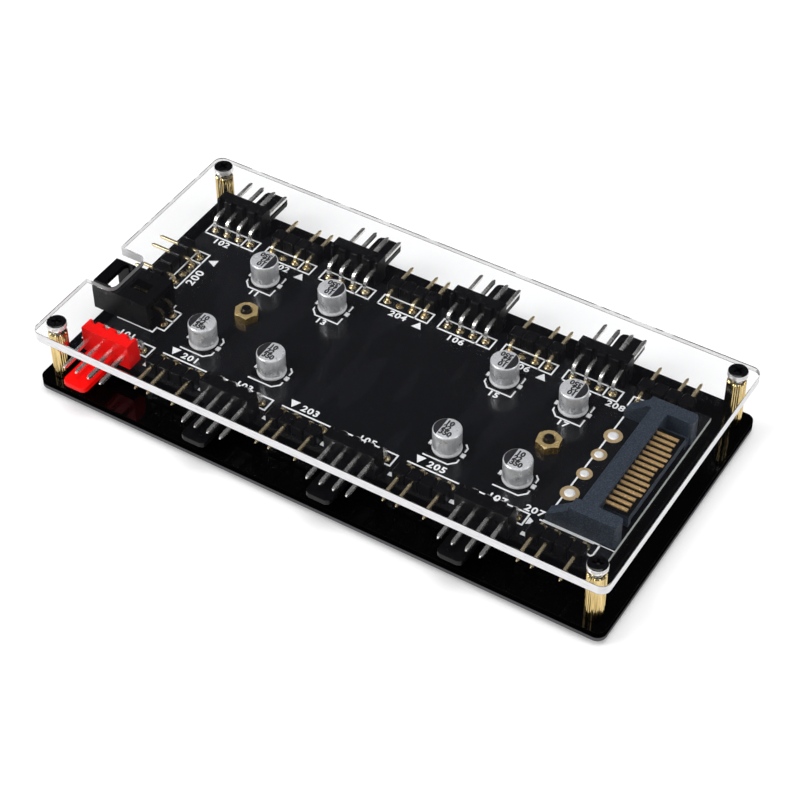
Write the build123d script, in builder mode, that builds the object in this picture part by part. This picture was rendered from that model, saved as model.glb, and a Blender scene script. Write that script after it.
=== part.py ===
from build123d import *
import os
from math import cos, pi, sin, sqrt

# A hub that shares fan and light signals: a board of plug-in headers between two acrylic plates.
# Millimetres. The origin is under the middle of the hub, at the level of the lower screw heads.
# +X runs along the hub towards the power socket, +Y to the back and +Z up.

os.makedirs("parts", exist_ok=True)

# Acrylic plates: how far they reach past the board, and the cover's notch round the signal input
plate_end_overhang = 5.0
plate_side_overhang = 8.0
plate_corner_radius = 1.7
base_thickness = 2.0
cover_thickness = 2.0
notch_end_gap = 1.5
notch_side_gap = 0.9
notch_offset = 0.4
notch_corner_radius = 1.5

# Screws, nuts, spacers and standoffs: many small rounds, so each has few sides
thread_diameter = 2.0
thread_gap = 0.05
hole_gap = 0.1
round_sides = 12
head_diameter = 3.5
head_height = 1.1
head_taper = 36.0
head_edge_height = 0.75
thread_engagement = 3.2
screw_inset = 3.2
standoff_length = 9.0
standoff_diameter = 3.3
knurl_depth = 0.2
knurl_teeth = 14
nut_across_flats = 4.0
nut_height = 1.6
screw_end_height = 0.7
spacer_across_flats = 4.2
spacer_height = 1.6
board_screw_inset = 19.9

# Circuit board: its margins past the headers
board_end_margin = 0.68
row_inset = 3.45
board_thickness = 1.6

# Headers: pitch, pins and the rows that they stand in
pitch = 2.54
pin_size = 0.64
pin_hole_gap = 0.06
pin_stub = 1.0
group_count = 4
group_pitch = 24.66
power_row_gap = 1.75

# Fan header
fan_ways = 4
fan_width = 9.8
fan_height = 5.2
fan_rear = 1.9
fan_depth = 3.2
fan_rear_lean = 0.5
fan_slot_width = 1.1
fan_slot_depth = 1.0
fan_pin_height = 2.65
fan_pin_reach = 11.9
fan_pin_bend = 1.0
fan_tab_width = 4.8
fan_tab_offset = 1.1
fan_tab_thickness = 1.0
fan_tab_reach = 13.2
fan_tab_chamfer = 0.9

# Light header: four blocks in a strip, one of them blank
light_ways = 4
light_blank = 1
light_rear = 1.45
light_depth = 2.5
light_height = 2.54
light_notch = 0.35
light_pin_height = 1.3
light_pin_reach = 8.6
light_pin_bend = 0.4
light_input_inset = 3.6
light_input_y = 4.7

# Signal input: a shrouded two-pin socket with a tall hood at its mouth
signal_ways = 2
signal_inset = 8.45
signal_y = -7.75
signal_width = 8.0
signal_rear = 1.2
signal_reach = 12.95
signal_height = 5.4
signal_wall = 0.9
hood_length = 3.6
hood_height = 6.8
hood_bar = 2.2
hood_chamfer = 0.7
signal_cavity_depth = 9.6
signal_window_length = 2.6
signal_slot_setback = 2.1
signal_slot_length = 3.5
signal_slot_width = 2.5
signal_recess_width = 5.6
signal_recess_depth = 1.2
signal_recess_height = 4.2
signal_pin_height = 2.9
signal_pin_setback = 2.6
signal_pin_bend = 0.6

# Power socket: a bar with two end arms and a tongue that carries the contacts
power_width = 29.2
power_height = 5.0
power_bar_back = 7.6
power_bar_depth = 2.95
power_arm_width = 2.6
power_arm_lug = 1.0
power_arm_radius = 0.8
power_ear_length = 4.0
power_ear_high = 4.4
power_ear_low = 1.2
power_ear_width = 2.2
power_front_wall = 0.8
tongue_width = 20.2
tongue_thickness = 1.5
tongue_top = 3.4
tongue_setback = 0.2
key_width = 1.0
key_drop = 0.9
contact_ways = 15
contact_pitch = 1.27
contact_width = 0.66
contact_thickness = 0.2
contact_setback = 0.95
contact_long = 0.5
contact_leg_setback = 6.2
contact_slit_gap = 0.1
contact_leg_gap = 0.4
contact_side_gap = 0.2
contact_group_ways = 3

# Capacitors
can_diameter = 5.0
can_height = 4.5
can_edge = 0.3
can_base_size = 5.3
can_base_height = 0.5
can_base_chamfer = 1.1
can_row_y = 9.45
can_left_insets = (17.4, 31.6)
can_right_insets = (33.7, 20.5)

# Outlines, levels and places that follow from the sizes above
row_y = power_width / 2 + power_row_gap
board_width = 2 * (row_y + row_inset)
board_length = group_count * group_pitch + 2 * board_end_margin
board_left = -board_length / 2
board_right = board_length / 2
board_screw_spacing = board_length - 2 * board_screw_inset
plate_length = board_length + 2 * plate_end_overhang
plate_width = board_width + 2 * plate_side_overhang
notch_width = signal_width + 2 * notch_side_gap
hood_back_x = board_left + signal_inset - signal_reach + hood_length
notch_depth = hood_back_x + notch_end_gap + plate_length / 2
base_bottom = head_height
base_top = base_bottom + base_thickness
cover_bottom = base_top + standoff_length
cover_top = cover_bottom + cover_thickness
board_bottom = base_top + spacer_height
board_top = board_bottom + board_thickness
corner_pitch_x = plate_length - 2 * screw_inset
corner_pitch_y = plate_width - 2 * screw_inset
screw_hole_radius = thread_diameter / 2 + hole_gap
shank_radius = thread_diameter / 2 - thread_gap

fan_places = {}
light_places = {}
for group in range(group_count):
    fan_x = board_left + board_end_margin + fan_width / 2 + group * group_pitch
    light_x = fan_x + group_pitch / 2
    fan_places[2 * group + 1] = Location((fan_x, -row_y, board_top), (0, 0, 180))
    fan_places[2 * group + 2] = Location((fan_x, row_y, board_top))
    light_places[2 * group + 1] = Location((light_x, -row_y, board_top), (0, 0, 180))
    light_places[2 * group + 2] = Location((light_x, row_y, board_top))
light_input_place = Location((board_left + light_input_inset, light_input_y, board_top), (0, 0, 90))
signal_place = Location((board_left + signal_inset, signal_y, board_top), (0, 0, 90))

fan_pin_x = [(way - (fan_ways - 1) / 2) * pitch for way in range(fan_ways)]
light_pin_x = [
    (way - (light_ways - 1) / 2) * pitch for way in range(light_ways) if way != light_blank
]
signal_pin_x = [(way - (signal_ways - 1) / 2) * pitch for way in range(signal_ways)]


def save(builder, name):
    """Labels a finished piece and writes its file."""
    builder.part.label = name
    export_step(builder.part, f"parts/{name}.step")


def knurl_outline(diameter, depth, teeth):
    """Points of a straight-knurled round: ridges and valleys in turn."""
    radii = (diameter / 2, diameter / 2 - depth)
    return [
        (radii[step % 2] * cos(pi * step / teeth), radii[step % 2] * sin(pi * step / teeth))
        for step in range(2 * teeth)
    ]


def strip_outline(ways, width, height, notch):
    """Points of a strip of blocks with a notch above each joint and a flat foot."""
    half = ways / 2 * width
    points = [(half, height - notch), (half, 0), (-half, 0)]
    for way in range(ways):
        left = way * width - half
        points += [(left, height - notch), (left + notch, height), (left + width - notch, height)]
    return points


def pin_outline(reach, height, bend):
    """Points of a pin with a slanting bend, from its tip to its stub under the board."""
    half = pin_size / 2
    outer_bend = bend + (2 - sqrt(2)) * pin_size
    return [
        (reach, height - half),
        (reach, height + half),
        (outer_bend - half, height + half),
        (-half, height + half - outer_bend),
        (-half, -board_thickness - pin_stub),
        (half, -board_thickness - pin_stub),
        (half, height - half - bend),
        (half + bend, height - half),
    ]


# Black base plate
with BuildPart() as base_plate:
    with BuildSketch(Plane.XY.offset(base_bottom)):
        RectangleRounded(plate_length, plate_width, plate_corner_radius)
        with GridLocations(corner_pitch_x, corner_pitch_y, 2, 2):
            RegularPolygon(screw_hole_radius, round_sides, mode=Mode.SUBTRACT)
        with GridLocations(board_screw_spacing, 0, 2, 1):
            RegularPolygon(screw_hole_radius, round_sides, mode=Mode.SUBTRACT)
    extrude(amount=base_thickness)
save(base_plate, "base_plate")

# Clear cover plate, notched at its left edge over the signal input
with BuildPart() as cover_plate:
    with BuildSketch(Plane.XY.offset(cover_bottom)):
        RectangleRounded(plate_length, plate_width, plate_corner_radius)
        with GridLocations(corner_pitch_x, corner_pitch_y, 2, 2):
            RegularPolygon(screw_hole_radius, round_sides, mode=Mode.SUBTRACT)
        with Locations((-plate_length / 2, signal_y + notch_offset)):
            RectangleRounded(2 * notch_depth, notch_width, notch_corner_radius, mode=Mode.SUBTRACT)
    extrude(amount=cover_thickness)
save(cover_plate, "cover_plate")

# Knurled brass standoffs at the corners
with BuildPart() as standoff:
    with BuildSketch(Plane.XY.offset(base_top)):
        with BuildLine():
            Polyline(*knurl_outline(standoff_diameter, knurl_depth, knurl_teeth), close=True)
        make_face()
        RegularPolygon(thread_diameter / 2, round_sides, mode=Mode.SUBTRACT)
    extrude(amount=standoff_length)

with BuildPart() as corner_standoffs:
    with GridLocations(corner_pitch_x, corner_pitch_y, 2, 2):
        add(standoff.part)
save(corner_standoffs, "corner_standoffs")


def pan_screw(length):
    """A pan-head screw that stands on its head's seat at Z = 0, with its shank below."""
    with BuildPart() as screw:
        with BuildSketch():
            RegularPolygon(head_diameter / 2, round_sides)
        extrude(amount=head_edge_height)
        with BuildSketch(Plane.XY.offset(head_edge_height)):
            RegularPolygon(head_diameter / 2, round_sides)
        extrude(amount=head_height - head_edge_height, taper=head_taper)
        with BuildSketch():
            RegularPolygon(shank_radius, round_sides)
        extrude(amount=-length)
    return screw.part


# Screws: four from above, four from below, and two from below that hold the board
cover_screw = pan_screw(cover_thickness + thread_engagement)
with BuildPart() as cover_screws:
    with Locations((0, 0, cover_top)):
        with GridLocations(corner_pitch_x, corner_pitch_y, 2, 2):
            add(cover_screw)
save(cover_screws, "cover_screws")

base_screw = pan_screw(base_thickness + thread_engagement)
with BuildPart() as base_screws:
    with Locations(Location((0, 0, base_bottom), (180, 0, 0))):
        with GridLocations(corner_pitch_x, corner_pitch_y, 2, 2):
            add(base_screw)
save(base_screws, "base_screws")

board_stack = base_thickness + spacer_height + board_thickness + nut_height
board_screw = pan_screw(board_stack + screw_end_height)
with BuildPart() as board_screws:
    with Locations(Location((0, 0, base_bottom), (180, 0, 0))):
        with GridLocations(board_screw_spacing, 0, 2, 1):
            add(board_screw)
save(board_screws, "board_screws")

# Spacers under the board and nuts on it
with BuildPart() as board_spacers:
    with BuildSketch(Plane.XY.offset(base_top)):
        with GridLocations(board_screw_spacing, 0, 2, 1):
            RegularPolygon(spacer_across_flats / 2, 6, major_radius=False)
            RegularPolygon(screw_hole_radius, round_sides, mode=Mode.SUBTRACT)
    extrude(amount=spacer_height)
save(board_spacers, "board_spacers")

with BuildPart() as board_nuts:
    with BuildSketch(Plane.XY.offset(board_top)):
        with GridLocations(board_screw_spacing, 0, 2, 1):
            RegularPolygon(nut_across_flats / 2, 6, major_radius=False)
            RegularPolygon(thread_diameter / 2, round_sides, mode=Mode.SUBTRACT)
    extrude(amount=nut_height)
save(board_nuts, "board_nuts")

# Circuit board, with a hole for each pin
pin_hole = pin_size + 2 * pin_hole_gap
with BuildPart() as circuit_board:
    with BuildSketch(Plane.XY.offset(board_bottom)):
        Rectangle(board_length, board_width)
        with GridLocations(board_screw_spacing, 0, 2, 1):
            RegularPolygon(screw_hole_radius, round_sides, mode=Mode.SUBTRACT)
        for places, pin_row in (
            (fan_places.values(), fan_pin_x),
            (light_places.values(), light_pin_x),
            ([light_input_place], light_pin_x),
            ([signal_place], signal_pin_x),
        ):
            for place in places:
                flat_place = Location((place.position.X, place.position.Y), place.orientation.Z)
                with Locations(flat_place):
                    with Locations(*[(x, 0) for x in pin_row]):
                        Rectangle(pin_hole, pin_hole, mode=Mode.SUBTRACT)
    extrude(amount=board_thickness)
save(circuit_board, "circuit_board")

# Fan header housing: a block that leans at its ribbed rear, with a friction tab under the pins
fan_front = fan_rear + fan_depth
with BuildPart() as fan_housing:
    with BuildSketch(Plane.YZ):
        with BuildLine():
            Polyline(
                (fan_rear, 0),
                (fan_front, 0),
                (fan_front, fan_height),
                (fan_rear + fan_rear_lean, fan_height),
                close=True,
            )
        make_face()
    extrude(amount=fan_width / 2, both=True)
    with BuildSketch():
        with Locations(*[(x, fan_rear) for x in fan_pin_x]):
            Rectangle(fan_slot_width, fan_slot_depth, align=(Align.CENTER, Align.MIN))
    extrude(amount=fan_height, mode=Mode.SUBTRACT)
    with BuildSketch():
        with Locations((fan_tab_offset, fan_front)):
            tab_length = fan_tab_reach - fan_front
            tab = Rectangle(fan_tab_width, tab_length, align=(Align.CENTER, Align.MIN))
        chamfer(tab.vertices().group_by(Axis.Y)[-1], fan_tab_chamfer)
    extrude(amount=fan_tab_thickness)
    with BuildSketch(Plane.XZ):
        with Locations(*[(x, fan_pin_height) for x in fan_pin_x]):
            Rectangle(pin_size, pin_size)
    extrude(amount=-fan_front, mode=Mode.SUBTRACT)

# Fan header pins
with BuildPart() as fan_pin:
    with BuildSketch(Plane.YZ):
        with BuildLine():
            Polyline(*pin_outline(fan_pin_reach, fan_pin_height, fan_pin_bend), close=True)
        make_face()
    extrude(amount=pin_size / 2, both=True)

# Light header strip and its pins
with BuildPart() as light_strip:
    with BuildSketch(Plane.XZ):
        with BuildLine():
            Polyline(*strip_outline(light_ways, pitch, light_height, light_notch), close=True)
        make_face()
        with Locations(*[(x, light_pin_height) for x in light_pin_x]):
            Rectangle(pin_size, pin_size, mode=Mode.SUBTRACT)
    extrude(amount=-light_depth)

with BuildPart() as light_pin:
    with BuildSketch(Plane.YZ):
        with BuildLine():
            Polyline(*pin_outline(light_pin_reach, light_pin_height, light_pin_bend), close=True)
        make_face()
    extrude(amount=pin_size / 2, both=True)

# Each header and its pins at their places, odd numbers at the front and even ones at the back
for number, place in fan_places.items():
    with BuildPart() as fan_header:
        with Locations(place):
            add(fan_housing.part)
    save(fan_header, f"fan_header_{number}")
    with BuildPart() as fan_pins:
        with Locations(place):
            with Locations(*[(x, 0) for x in fan_pin_x]):
                add(fan_pin.part)
    save(fan_pins, f"fan_pins_{number}")

light_names = {f"_{number}": place for number, place in light_places.items()}
light_names["_input"] = light_input_place
for suffix, place in light_names.items():
    with BuildPart() as light_header:
        with Locations(place):
            with Locations((0, light_rear)):
                add(light_strip.part)
    save(light_header, f"light_header{suffix}")
    with BuildPart() as light_pins:
        with Locations(place):
            with Locations(*[(x, 0) for x in light_pin_x]):
                add(light_pin.part)
    save(light_pins, f"light_pins{suffix}")

# Signal input housing: tall at the mouth, with a window behind the hood's bar, a slot in its top
# and a recess at its rear for the pins
with BuildPart() as signal_shell:
    with BuildSketch(Plane.YZ):
        with BuildLine():
            Polyline(
                (signal_rear, 0),
                (signal_reach, 0),
                (signal_reach, hood_height),
                (signal_reach - hood_length, hood_height),
                (signal_reach - hood_length, signal_height),
                (signal_rear, signal_height),
                close=True,
            )
        make_face()
    extrude(amount=signal_width / 2, both=True)
    hood_edges = signal_shell.edges().filter_by(Axis.Y).group_by(Axis.Z)[-1]
    chamfer(hood_edges, hood_chamfer)
    inner_width = signal_width - 2 * signal_wall
    cavity_start = signal_reach - signal_cavity_depth
    with BuildSketch(Plane.YZ):
        with BuildLine():
            Polyline(
                (cavity_start, signal_wall),
                (signal_reach, signal_wall),
                (signal_reach, hood_height - signal_wall),
                (signal_reach - hood_length + signal_wall, hood_height - signal_wall),
                (signal_reach - hood_length + signal_wall, signal_height - signal_wall),
                (cavity_start, signal_height - signal_wall),
                close=True,
            )
        make_face()
    extrude(amount=inner_width / 2, both=True, mode=Mode.SUBTRACT)
    with BuildSketch(Plane.XY.offset(signal_height - signal_wall)):
        with Locations((0, signal_reach - hood_bar)):
            Rectangle(inner_width, signal_window_length, align=(Align.CENTER, Align.MAX))
    extrude(amount=hood_height, mode=Mode.SUBTRACT)
    with BuildSketch(Plane.XY.offset(signal_height - signal_wall)):
        with Locations((0, signal_rear + signal_slot_setback)):
            Rectangle(signal_slot_width, signal_slot_length, align=(Align.CENTER, Align.MIN))
    extrude(amount=signal_wall, mode=Mode.SUBTRACT)
    with BuildSketch():
        with Locations((0, signal_rear)):
            Rectangle(signal_recess_width, signal_recess_depth, align=(Align.CENTER, Align.MIN))
    extrude(amount=signal_recess_height, mode=Mode.SUBTRACT)
    with BuildSketch(Plane.XZ.offset(-signal_rear)):
        with Locations(*[(x, signal_pin_height) for x in signal_pin_x]):
            Rectangle(pin_size, pin_size)
    extrude(amount=-(cavity_start - signal_rear), mode=Mode.SUBTRACT)

with BuildPart() as signal_header:
    with Locations(signal_place):
        add(signal_shell.part)
save(signal_header, "signal_header")

with BuildPart() as signal_pin:
    with BuildSketch(Plane.YZ):
        with BuildLine():
            signal_pin_reach = signal_reach - signal_pin_setback
            bent_outline = pin_outline(signal_pin_reach, signal_pin_height, signal_pin_bend)
            Polyline(*bent_outline, close=True)
        make_face()
    extrude(amount=pin_size / 2, both=True)

with BuildPart() as signal_pins:
    with Locations(signal_place):
        with Locations(*[(x, 0) for x in signal_pin_x]):
            add(signal_pin.part)
save(signal_pins, "signal_pins")

# Power socket housing, flush with the board's right edge
bar_back_x = board_right - power_bar_back
bar_front_x = bar_back_x + power_bar_depth
lug_back_x = bar_back_x - power_arm_lug
arm_y = (power_width - power_arm_width) / 2
ear_y = (power_width - power_ear_width) / 2
tongue_tip_x = board_right - tongue_setback
tongue_level = board_top + tongue_top
leg_x = board_right - contact_leg_setback
contact_span = (contact_ways - 1) * contact_pitch + contact_width
chamber_width = contact_span + 2 * contact_side_gap
chamber_height = tongue_top + contact_thickness + contact_slit_gap
with BuildPart() as power_socket:
    with BuildSketch(Plane.XY.offset(board_top)):
        with Locations((bar_back_x, 0)):
            Rectangle(power_bar_depth, power_width, align=(Align.MIN, Align.CENTER))
        with Locations((lug_back_x, arm_y), (lug_back_x, -arm_y)):
            Rectangle(board_right - lug_back_x, power_arm_width, align=(Align.MIN, Align.CENTER))
    extrude(amount=power_height)
    tip_edges = power_socket.edges().filter_by(Axis.Z).group_by(Axis.X)[-1]
    fillet(tip_edges, power_arm_radius)
    for side_y in (ear_y, -ear_y):
        with BuildSketch(Plane.XZ.offset(-side_y)):
            with BuildLine():
                Polyline(
                    (lug_back_x, board_top),
                    (lug_back_x, board_top + power_ear_high),
                    (lug_back_x - power_ear_length, board_top + power_ear_low),
                    (lug_back_x - power_ear_length, board_top),
                    close=True,
                )
            make_face()
        extrude(amount=power_ear_width / 2, both=True)
    with BuildSketch(Plane.XY.offset(tongue_level - tongue_thickness)):
        with Locations((bar_front_x, 0)):
            Rectangle(tongue_tip_x - bar_front_x, tongue_width, align=(Align.MIN, Align.CENTER))
    extrude(amount=tongue_thickness)
    with BuildSketch(Plane.XY.offset(tongue_level - tongue_thickness - key_drop)):
        with Locations((bar_front_x, -tongue_width / 2)):
            Rectangle(tongue_tip_x - bar_front_x, key_width, align=(Align.MIN, Align.MIN))
    extrude(amount=key_drop)
    with BuildSketch(Plane.XY.offset(board_top)):
        with Locations((leg_x - contact_leg_gap, 0)):
            chamber_depth = bar_front_x - power_front_wall - leg_x + contact_leg_gap
            Rectangle(chamber_depth, chamber_width, align=(Align.MIN, Align.CENTER))
    extrude(amount=chamber_height, mode=Mode.SUBTRACT)
    with BuildSketch(Plane.XY.offset(tongue_level)):
        with Locations((leg_x, 0)):
            Rectangle(bar_front_x - leg_x, chamber_width, align=(Align.MIN, Align.CENTER))
    extrude(amount=contact_thickness + contact_slit_gap, mode=Mode.SUBTRACT)
save(power_socket, "power_socket")

# Power contacts: each lies on the tongue and turns down to the board inside the bar
with BuildPart() as power_contacts:
    for place in range(contact_ways):
        contact_y = (place - (contact_ways - 1) / 2) * contact_pitch
        tip_x = board_right - contact_setback
        if place // contact_group_ways % 2 == 1:
            tip_x = tip_x + contact_long
        with BuildSketch(Plane.XZ.offset(-contact_y)):
            with BuildLine():
                Polyline(
                    (tip_x, tongue_level),
                    (tip_x, tongue_level + contact_thickness),
                    (leg_x, tongue_level + contact_thickness),
                    (leg_x, board_top),
                    (leg_x + contact_thickness, board_top),
                    (leg_x + contact_thickness, tongue_level),
                    close=True,
                )
            make_face()
        extrude(amount=contact_width / 2, both=True)
save(power_contacts, "power_contacts")

# Capacitors: a can on a square base with two cut corners, turned round in the front row
with BuildPart() as can_base:
    with BuildSketch():
        square = Rectangle(can_base_size, can_base_size)
        chamfer(square.vertices().group_by(Axis.X)[0], can_base_chamfer)
    extrude(amount=can_base_height)

with BuildPart() as can:
    with BuildSketch(Plane.XY.offset(can_base_height)):
        Circle(can_diameter / 2)
    extrude(amount=can_height)
    chamfer(can.faces().sort_by(Axis.Z)[-1].edges(), can_edge)

can_places = {}
can_columns = [board_left + inset for inset in can_left_insets]
can_columns += [board_right - inset for inset in can_right_insets]
for group, can_x in enumerate(can_columns):
    can_places[2 * group + 1] = Location((can_x, -can_row_y, board_top), (0, 0, 180))
    can_places[2 * group + 2] = Location((can_x, can_row_y, board_top))
for number, place in can_places.items():
    with BuildPart() as capacitor_can:
        with Locations(place):
            add(can.part)
    save(capacitor_can, f"capacitor_can_{number}")

with BuildPart() as capacitor_bases:
    with Locations(*can_places.values()):
        add(can_base.part)
save(capacitor_bases, "capacitor_bases")
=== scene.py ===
"""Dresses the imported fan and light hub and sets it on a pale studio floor.

Every piece is modelled in millimetres on a bench at the world's origin, with Blender's own
operators, and is then set down at its place on the hub, in metres.
"""
import logging
import math
from contextlib import contextmanager
from dataclasses import dataclass
from enum import Enum
from typing import Callable, Dict, Iterator, List, Optional, Sequence, Tuple

import bmesh
import bpy
from mathutils import Matrix, Vector


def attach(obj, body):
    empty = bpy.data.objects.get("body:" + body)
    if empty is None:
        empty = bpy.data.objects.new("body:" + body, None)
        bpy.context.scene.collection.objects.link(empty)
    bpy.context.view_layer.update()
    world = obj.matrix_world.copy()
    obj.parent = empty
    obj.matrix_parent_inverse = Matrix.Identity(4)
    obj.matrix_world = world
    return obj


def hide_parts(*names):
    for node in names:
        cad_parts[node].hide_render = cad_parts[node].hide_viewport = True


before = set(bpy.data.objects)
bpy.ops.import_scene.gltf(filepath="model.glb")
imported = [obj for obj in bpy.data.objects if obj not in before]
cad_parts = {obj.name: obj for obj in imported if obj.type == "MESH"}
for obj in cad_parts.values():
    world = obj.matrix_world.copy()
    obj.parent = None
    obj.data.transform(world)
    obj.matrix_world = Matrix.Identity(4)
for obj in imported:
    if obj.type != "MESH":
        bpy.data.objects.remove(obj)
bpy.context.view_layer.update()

MM = 0.001
LOG = logging.getLogger("hub")

Colour = Tuple[float, float, float]
Point2 = Tuple[float, float]
Point3 = Tuple[float, float, float]
Piece = bpy.types.Object


class Slot(Enum):
    """The record's material slots."""

    BLACK_ACRYLIC = "black_acrylic"
    CLEAR_ACRYLIC = "clear_acrylic"
    BLACK_BOARD = "black_board"
    BRASS = "knurled_brass"
    BLACK_SCREW = "black_screw"
    BLACK_NYLON = "black_nylon"
    RED_NYLON = "red_nylon"
    BLUE_GREY_NYLON = "blue_grey_nylon"
    TINNED_PIN = "tinned_pin"
    GOLD_PIN = "gold_pin"
    BARE_CAN = "bare_can"


class Part(Enum):
    """What an edit-mode choice picks."""

    FACE = "FACE"
    EDGE = "EDGE"
    VERT = "VERT"


class Axis(Enum):
    """The axis that an outline is pushed along."""

    X = 0
    Y = 1
    Z = 2

    def at(self, first: float, second: float, along: float) -> Vector:
        """The point with these two outline coordinates, at this distance along the axis."""
        point = [first, second]
        point.insert(self.value, along)
        return Vector(point)


# The bench: Blender's operators under short names


def hold(piece: Piece) -> None:
    """Leaves only this piece selected, and active."""
    bpy.ops.object.select_all(action="DESELECT")
    piece.select_set(True)
    bpy.context.view_layer.objects.active = piece


@contextmanager
def editing(piece: Piece) -> Iterator[bmesh.types.BMesh]:
    """Opens a piece in edit mode, and leaves it in object mode.

    Args:
        piece: The piece to edit.

    Returns:
        Its edit mesh, with everything selected.
    """
    hold(piece)
    bpy.ops.object.mode_set(mode="EDIT")
    bpy.ops.mesh.select_all(action="SELECT")
    yield bmesh.from_edit_mesh(piece.data)
    bpy.ops.object.mode_set(mode="OBJECT")


def pick(piece: Piece, part: Part, test: Callable[[object], bool]) -> None:
    """Selects the faces, edges or points of a piece in edit mode that pass a test."""
    bpy.ops.mesh.select_mode(type=part.value)
    bpy.ops.mesh.select_all(action="DESELECT")
    mesh = bmesh.from_edit_mesh(piece.data)
    mesh.normal_update()
    groups = {Part.FACE: mesh.faces, Part.EDGE: mesh.edges, Part.VERT: mesh.verts}
    for item in groups[part]:
        if test(item):
            item.select_set(True)
    mesh.select_flush_mode()
    bmesh.update_edit_mesh(piece.data)


def middle(edge: bmesh.types.BMEdge) -> Vector:
    """The middle of an edge."""
    return (edge.verts[0].co + edge.verts[1].co) / 2


def runs(edge: bmesh.types.BMEdge, axis: Axis) -> bool:
    """Whether an edge runs along an axis."""
    way = edge.verts[1].co - edge.verts[0].co
    return abs(way[axis.value]) > 0.99 * way.length


def tidy_normals() -> None:
    """Turns the faces of the piece in edit mode outwards."""
    bpy.ops.mesh.select_all(action="SELECT")
    bpy.ops.mesh.normals_make_consistent(inside=False)


def block(name: str, low: Point3, high: Point3) -> Piece:
    """A block between two corners.

    Args:
        name: Its name.
        low: Its lowest corner.
        high: Its highest corner.

    Returns:
        The block, to be shaped further.
    """
    size = [b - a for a, b in zip(low, high)]
    centre = [(a + b) / 2 for a, b in zip(low, high)]
    bpy.ops.mesh.primitive_cube_add(size=1, location=centre, scale=size)
    piece = bpy.context.active_object
    piece.name = name
    bpy.ops.object.transform_apply(location=True, rotation=True, scale=True)
    return piece


def prism(name: str, outline: Sequence[Point2], axis: Axis, start: float, end: float) -> Piece:
    """An outline, pushed along an axis.

    Args:
        name: Its name.
        outline: The outline's points, in the two other axes.
        axis: The axis that the outline is pushed along.
        start: Where the push starts.
        end: Where it ends.

    Returns:
        The closed prism.
    """
    bpy.ops.mesh.primitive_circle_add(vertices=len(outline), fill_type="NGON")
    piece = bpy.context.active_object
    piece.name = name
    with editing(piece) as mesh:
        for corner, point in zip(mesh.verts, outline):
            corner.co = axis.at(*point, start)
        bmesh.update_edit_mesh(piece.data)
        push = {"value": axis.at(0, 0, end - start)}
        bpy.ops.mesh.extrude_region_move(TRANSFORM_OT_translate=push)
        tidy_normals()
    return piece


def lathe(name: str, profile: Sequence[Point2], steps: int, closed: bool = False) -> Piece:
    """A profile, spun round the Z axis.

    Args:
        name: Its name.
        profile: Points as radius and height.
        steps: How many steps the turn has.
        closed: Whether the profile is a ring clear of the axis.

    Returns:
        The spun piece, merged and closed.
    """
    bpy.ops.mesh.primitive_circle_add(vertices=len(profile), fill_type="NOTHING")
    piece = bpy.context.active_object
    piece.name = name
    with editing(piece) as mesh:
        for corner, (radius, height) in zip(mesh.verts, profile):
            corner.co = (radius, 0, height)
        bmesh.update_edit_mesh(piece.data)
        if not closed:
            ends = {0, len(profile) - 1}
            pick(piece, Part.EDGE, lambda edge: {v.index for v in edge.verts} == ends)
            bpy.ops.mesh.delete(type="EDGE")
            bpy.ops.mesh.select_all(action="SELECT")
        bpy.ops.mesh.spin(steps=steps, angle=math.tau, center=(0, 0, 0), axis=(0, 0, 1))
        bpy.ops.mesh.select_all(action="SELECT")
        bpy.ops.mesh.remove_doubles(threshold=1e-4)
        tidy_normals()
    return piece


def rod(name: str, radius: float, low: float, high: float, sides: int = 32) -> Piece:
    """A plain round tool for holes, from one height to another."""
    return lathe(name, [(0, low), (radius, low), (radius, high), (0, high)], sides)


def shift(piece: Piece, step: Point3, turn: float = 0.0) -> Piece:
    """Turns a bench piece about the Z axis and moves it, with its place kept in its mesh."""
    hold(piece)
    piece.matrix_world = Matrix.Translation(step) @ Matrix.Rotation(turn, 4, "Z")
    bpy.ops.object.transform_apply(location=True, rotation=True, scale=True)
    return piece


def use(piece: Piece, kind: str, **settings: object) -> None:
    """Adds a modifier with these settings and applies it."""
    hold(piece)
    modifier = piece.modifiers.new(kind.lower(), kind)
    for key, value in settings.items():
        setattr(modifier, key, value)
    bpy.ops.object.modifier_apply(modifier=modifier.name)


def trim(piece: Piece, tool: Piece, operation: str = "DIFFERENCE") -> None:
    """Cuts a piece with a tool, which is then thrown away."""
    use(piece, "BOOLEAN", object=tool, operation=operation, solver="EXACT")
    bpy.data.objects.remove(tool)


def soften(piece: Piece, width: float, segments: int = 2, angle: float = 30.0) -> None:
    """Rounds a piece's sharp edges a little and shades it smooth between them."""
    use(
        piece,
        "BEVEL",
        width=width,
        segments=segments,
        limit_method="ANGLE",
        angle_limit=math.radians(angle),
        use_clamp_overlap=True,
    )
    smooth(piece)
    use(piece, "WEIGHTED_NORMAL", weight=90, keep_sharp=True)


def smooth(piece: Piece, angle: float = 40.0) -> None:
    """Shades a piece smooth except across its sharp edges."""
    hold(piece)
    bpy.ops.object.shade_smooth_by_angle(angle=math.radians(angle))


def join(pieces: Sequence[Piece], name: str) -> Piece:
    """Joins pieces into the first of them.

    Args:
        pieces: The pieces.
        name: The joined piece's name.

    Returns:
        The joined piece.
    """
    hold(pieces[0])
    for piece in pieces:
        piece.select_set(True)
    if len(pieces) > 1:
        bpy.ops.object.join()
    pieces[0].name = name
    return pieces[0]


def copy_of(piece: Piece) -> Piece:
    """A copy of a piece, with its own mesh."""
    hold(piece)
    bpy.ops.object.duplicate(linked=False)
    return bpy.context.active_object


def laid(model: Piece, place: Matrix) -> Piece:
    """A copy of a bench piece, with its place kept in its mesh."""
    copy = copy_of(model)
    copy.matrix_world = place
    bpy.ops.object.transform_apply(location=True, rotation=True, scale=True)
    return copy


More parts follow.
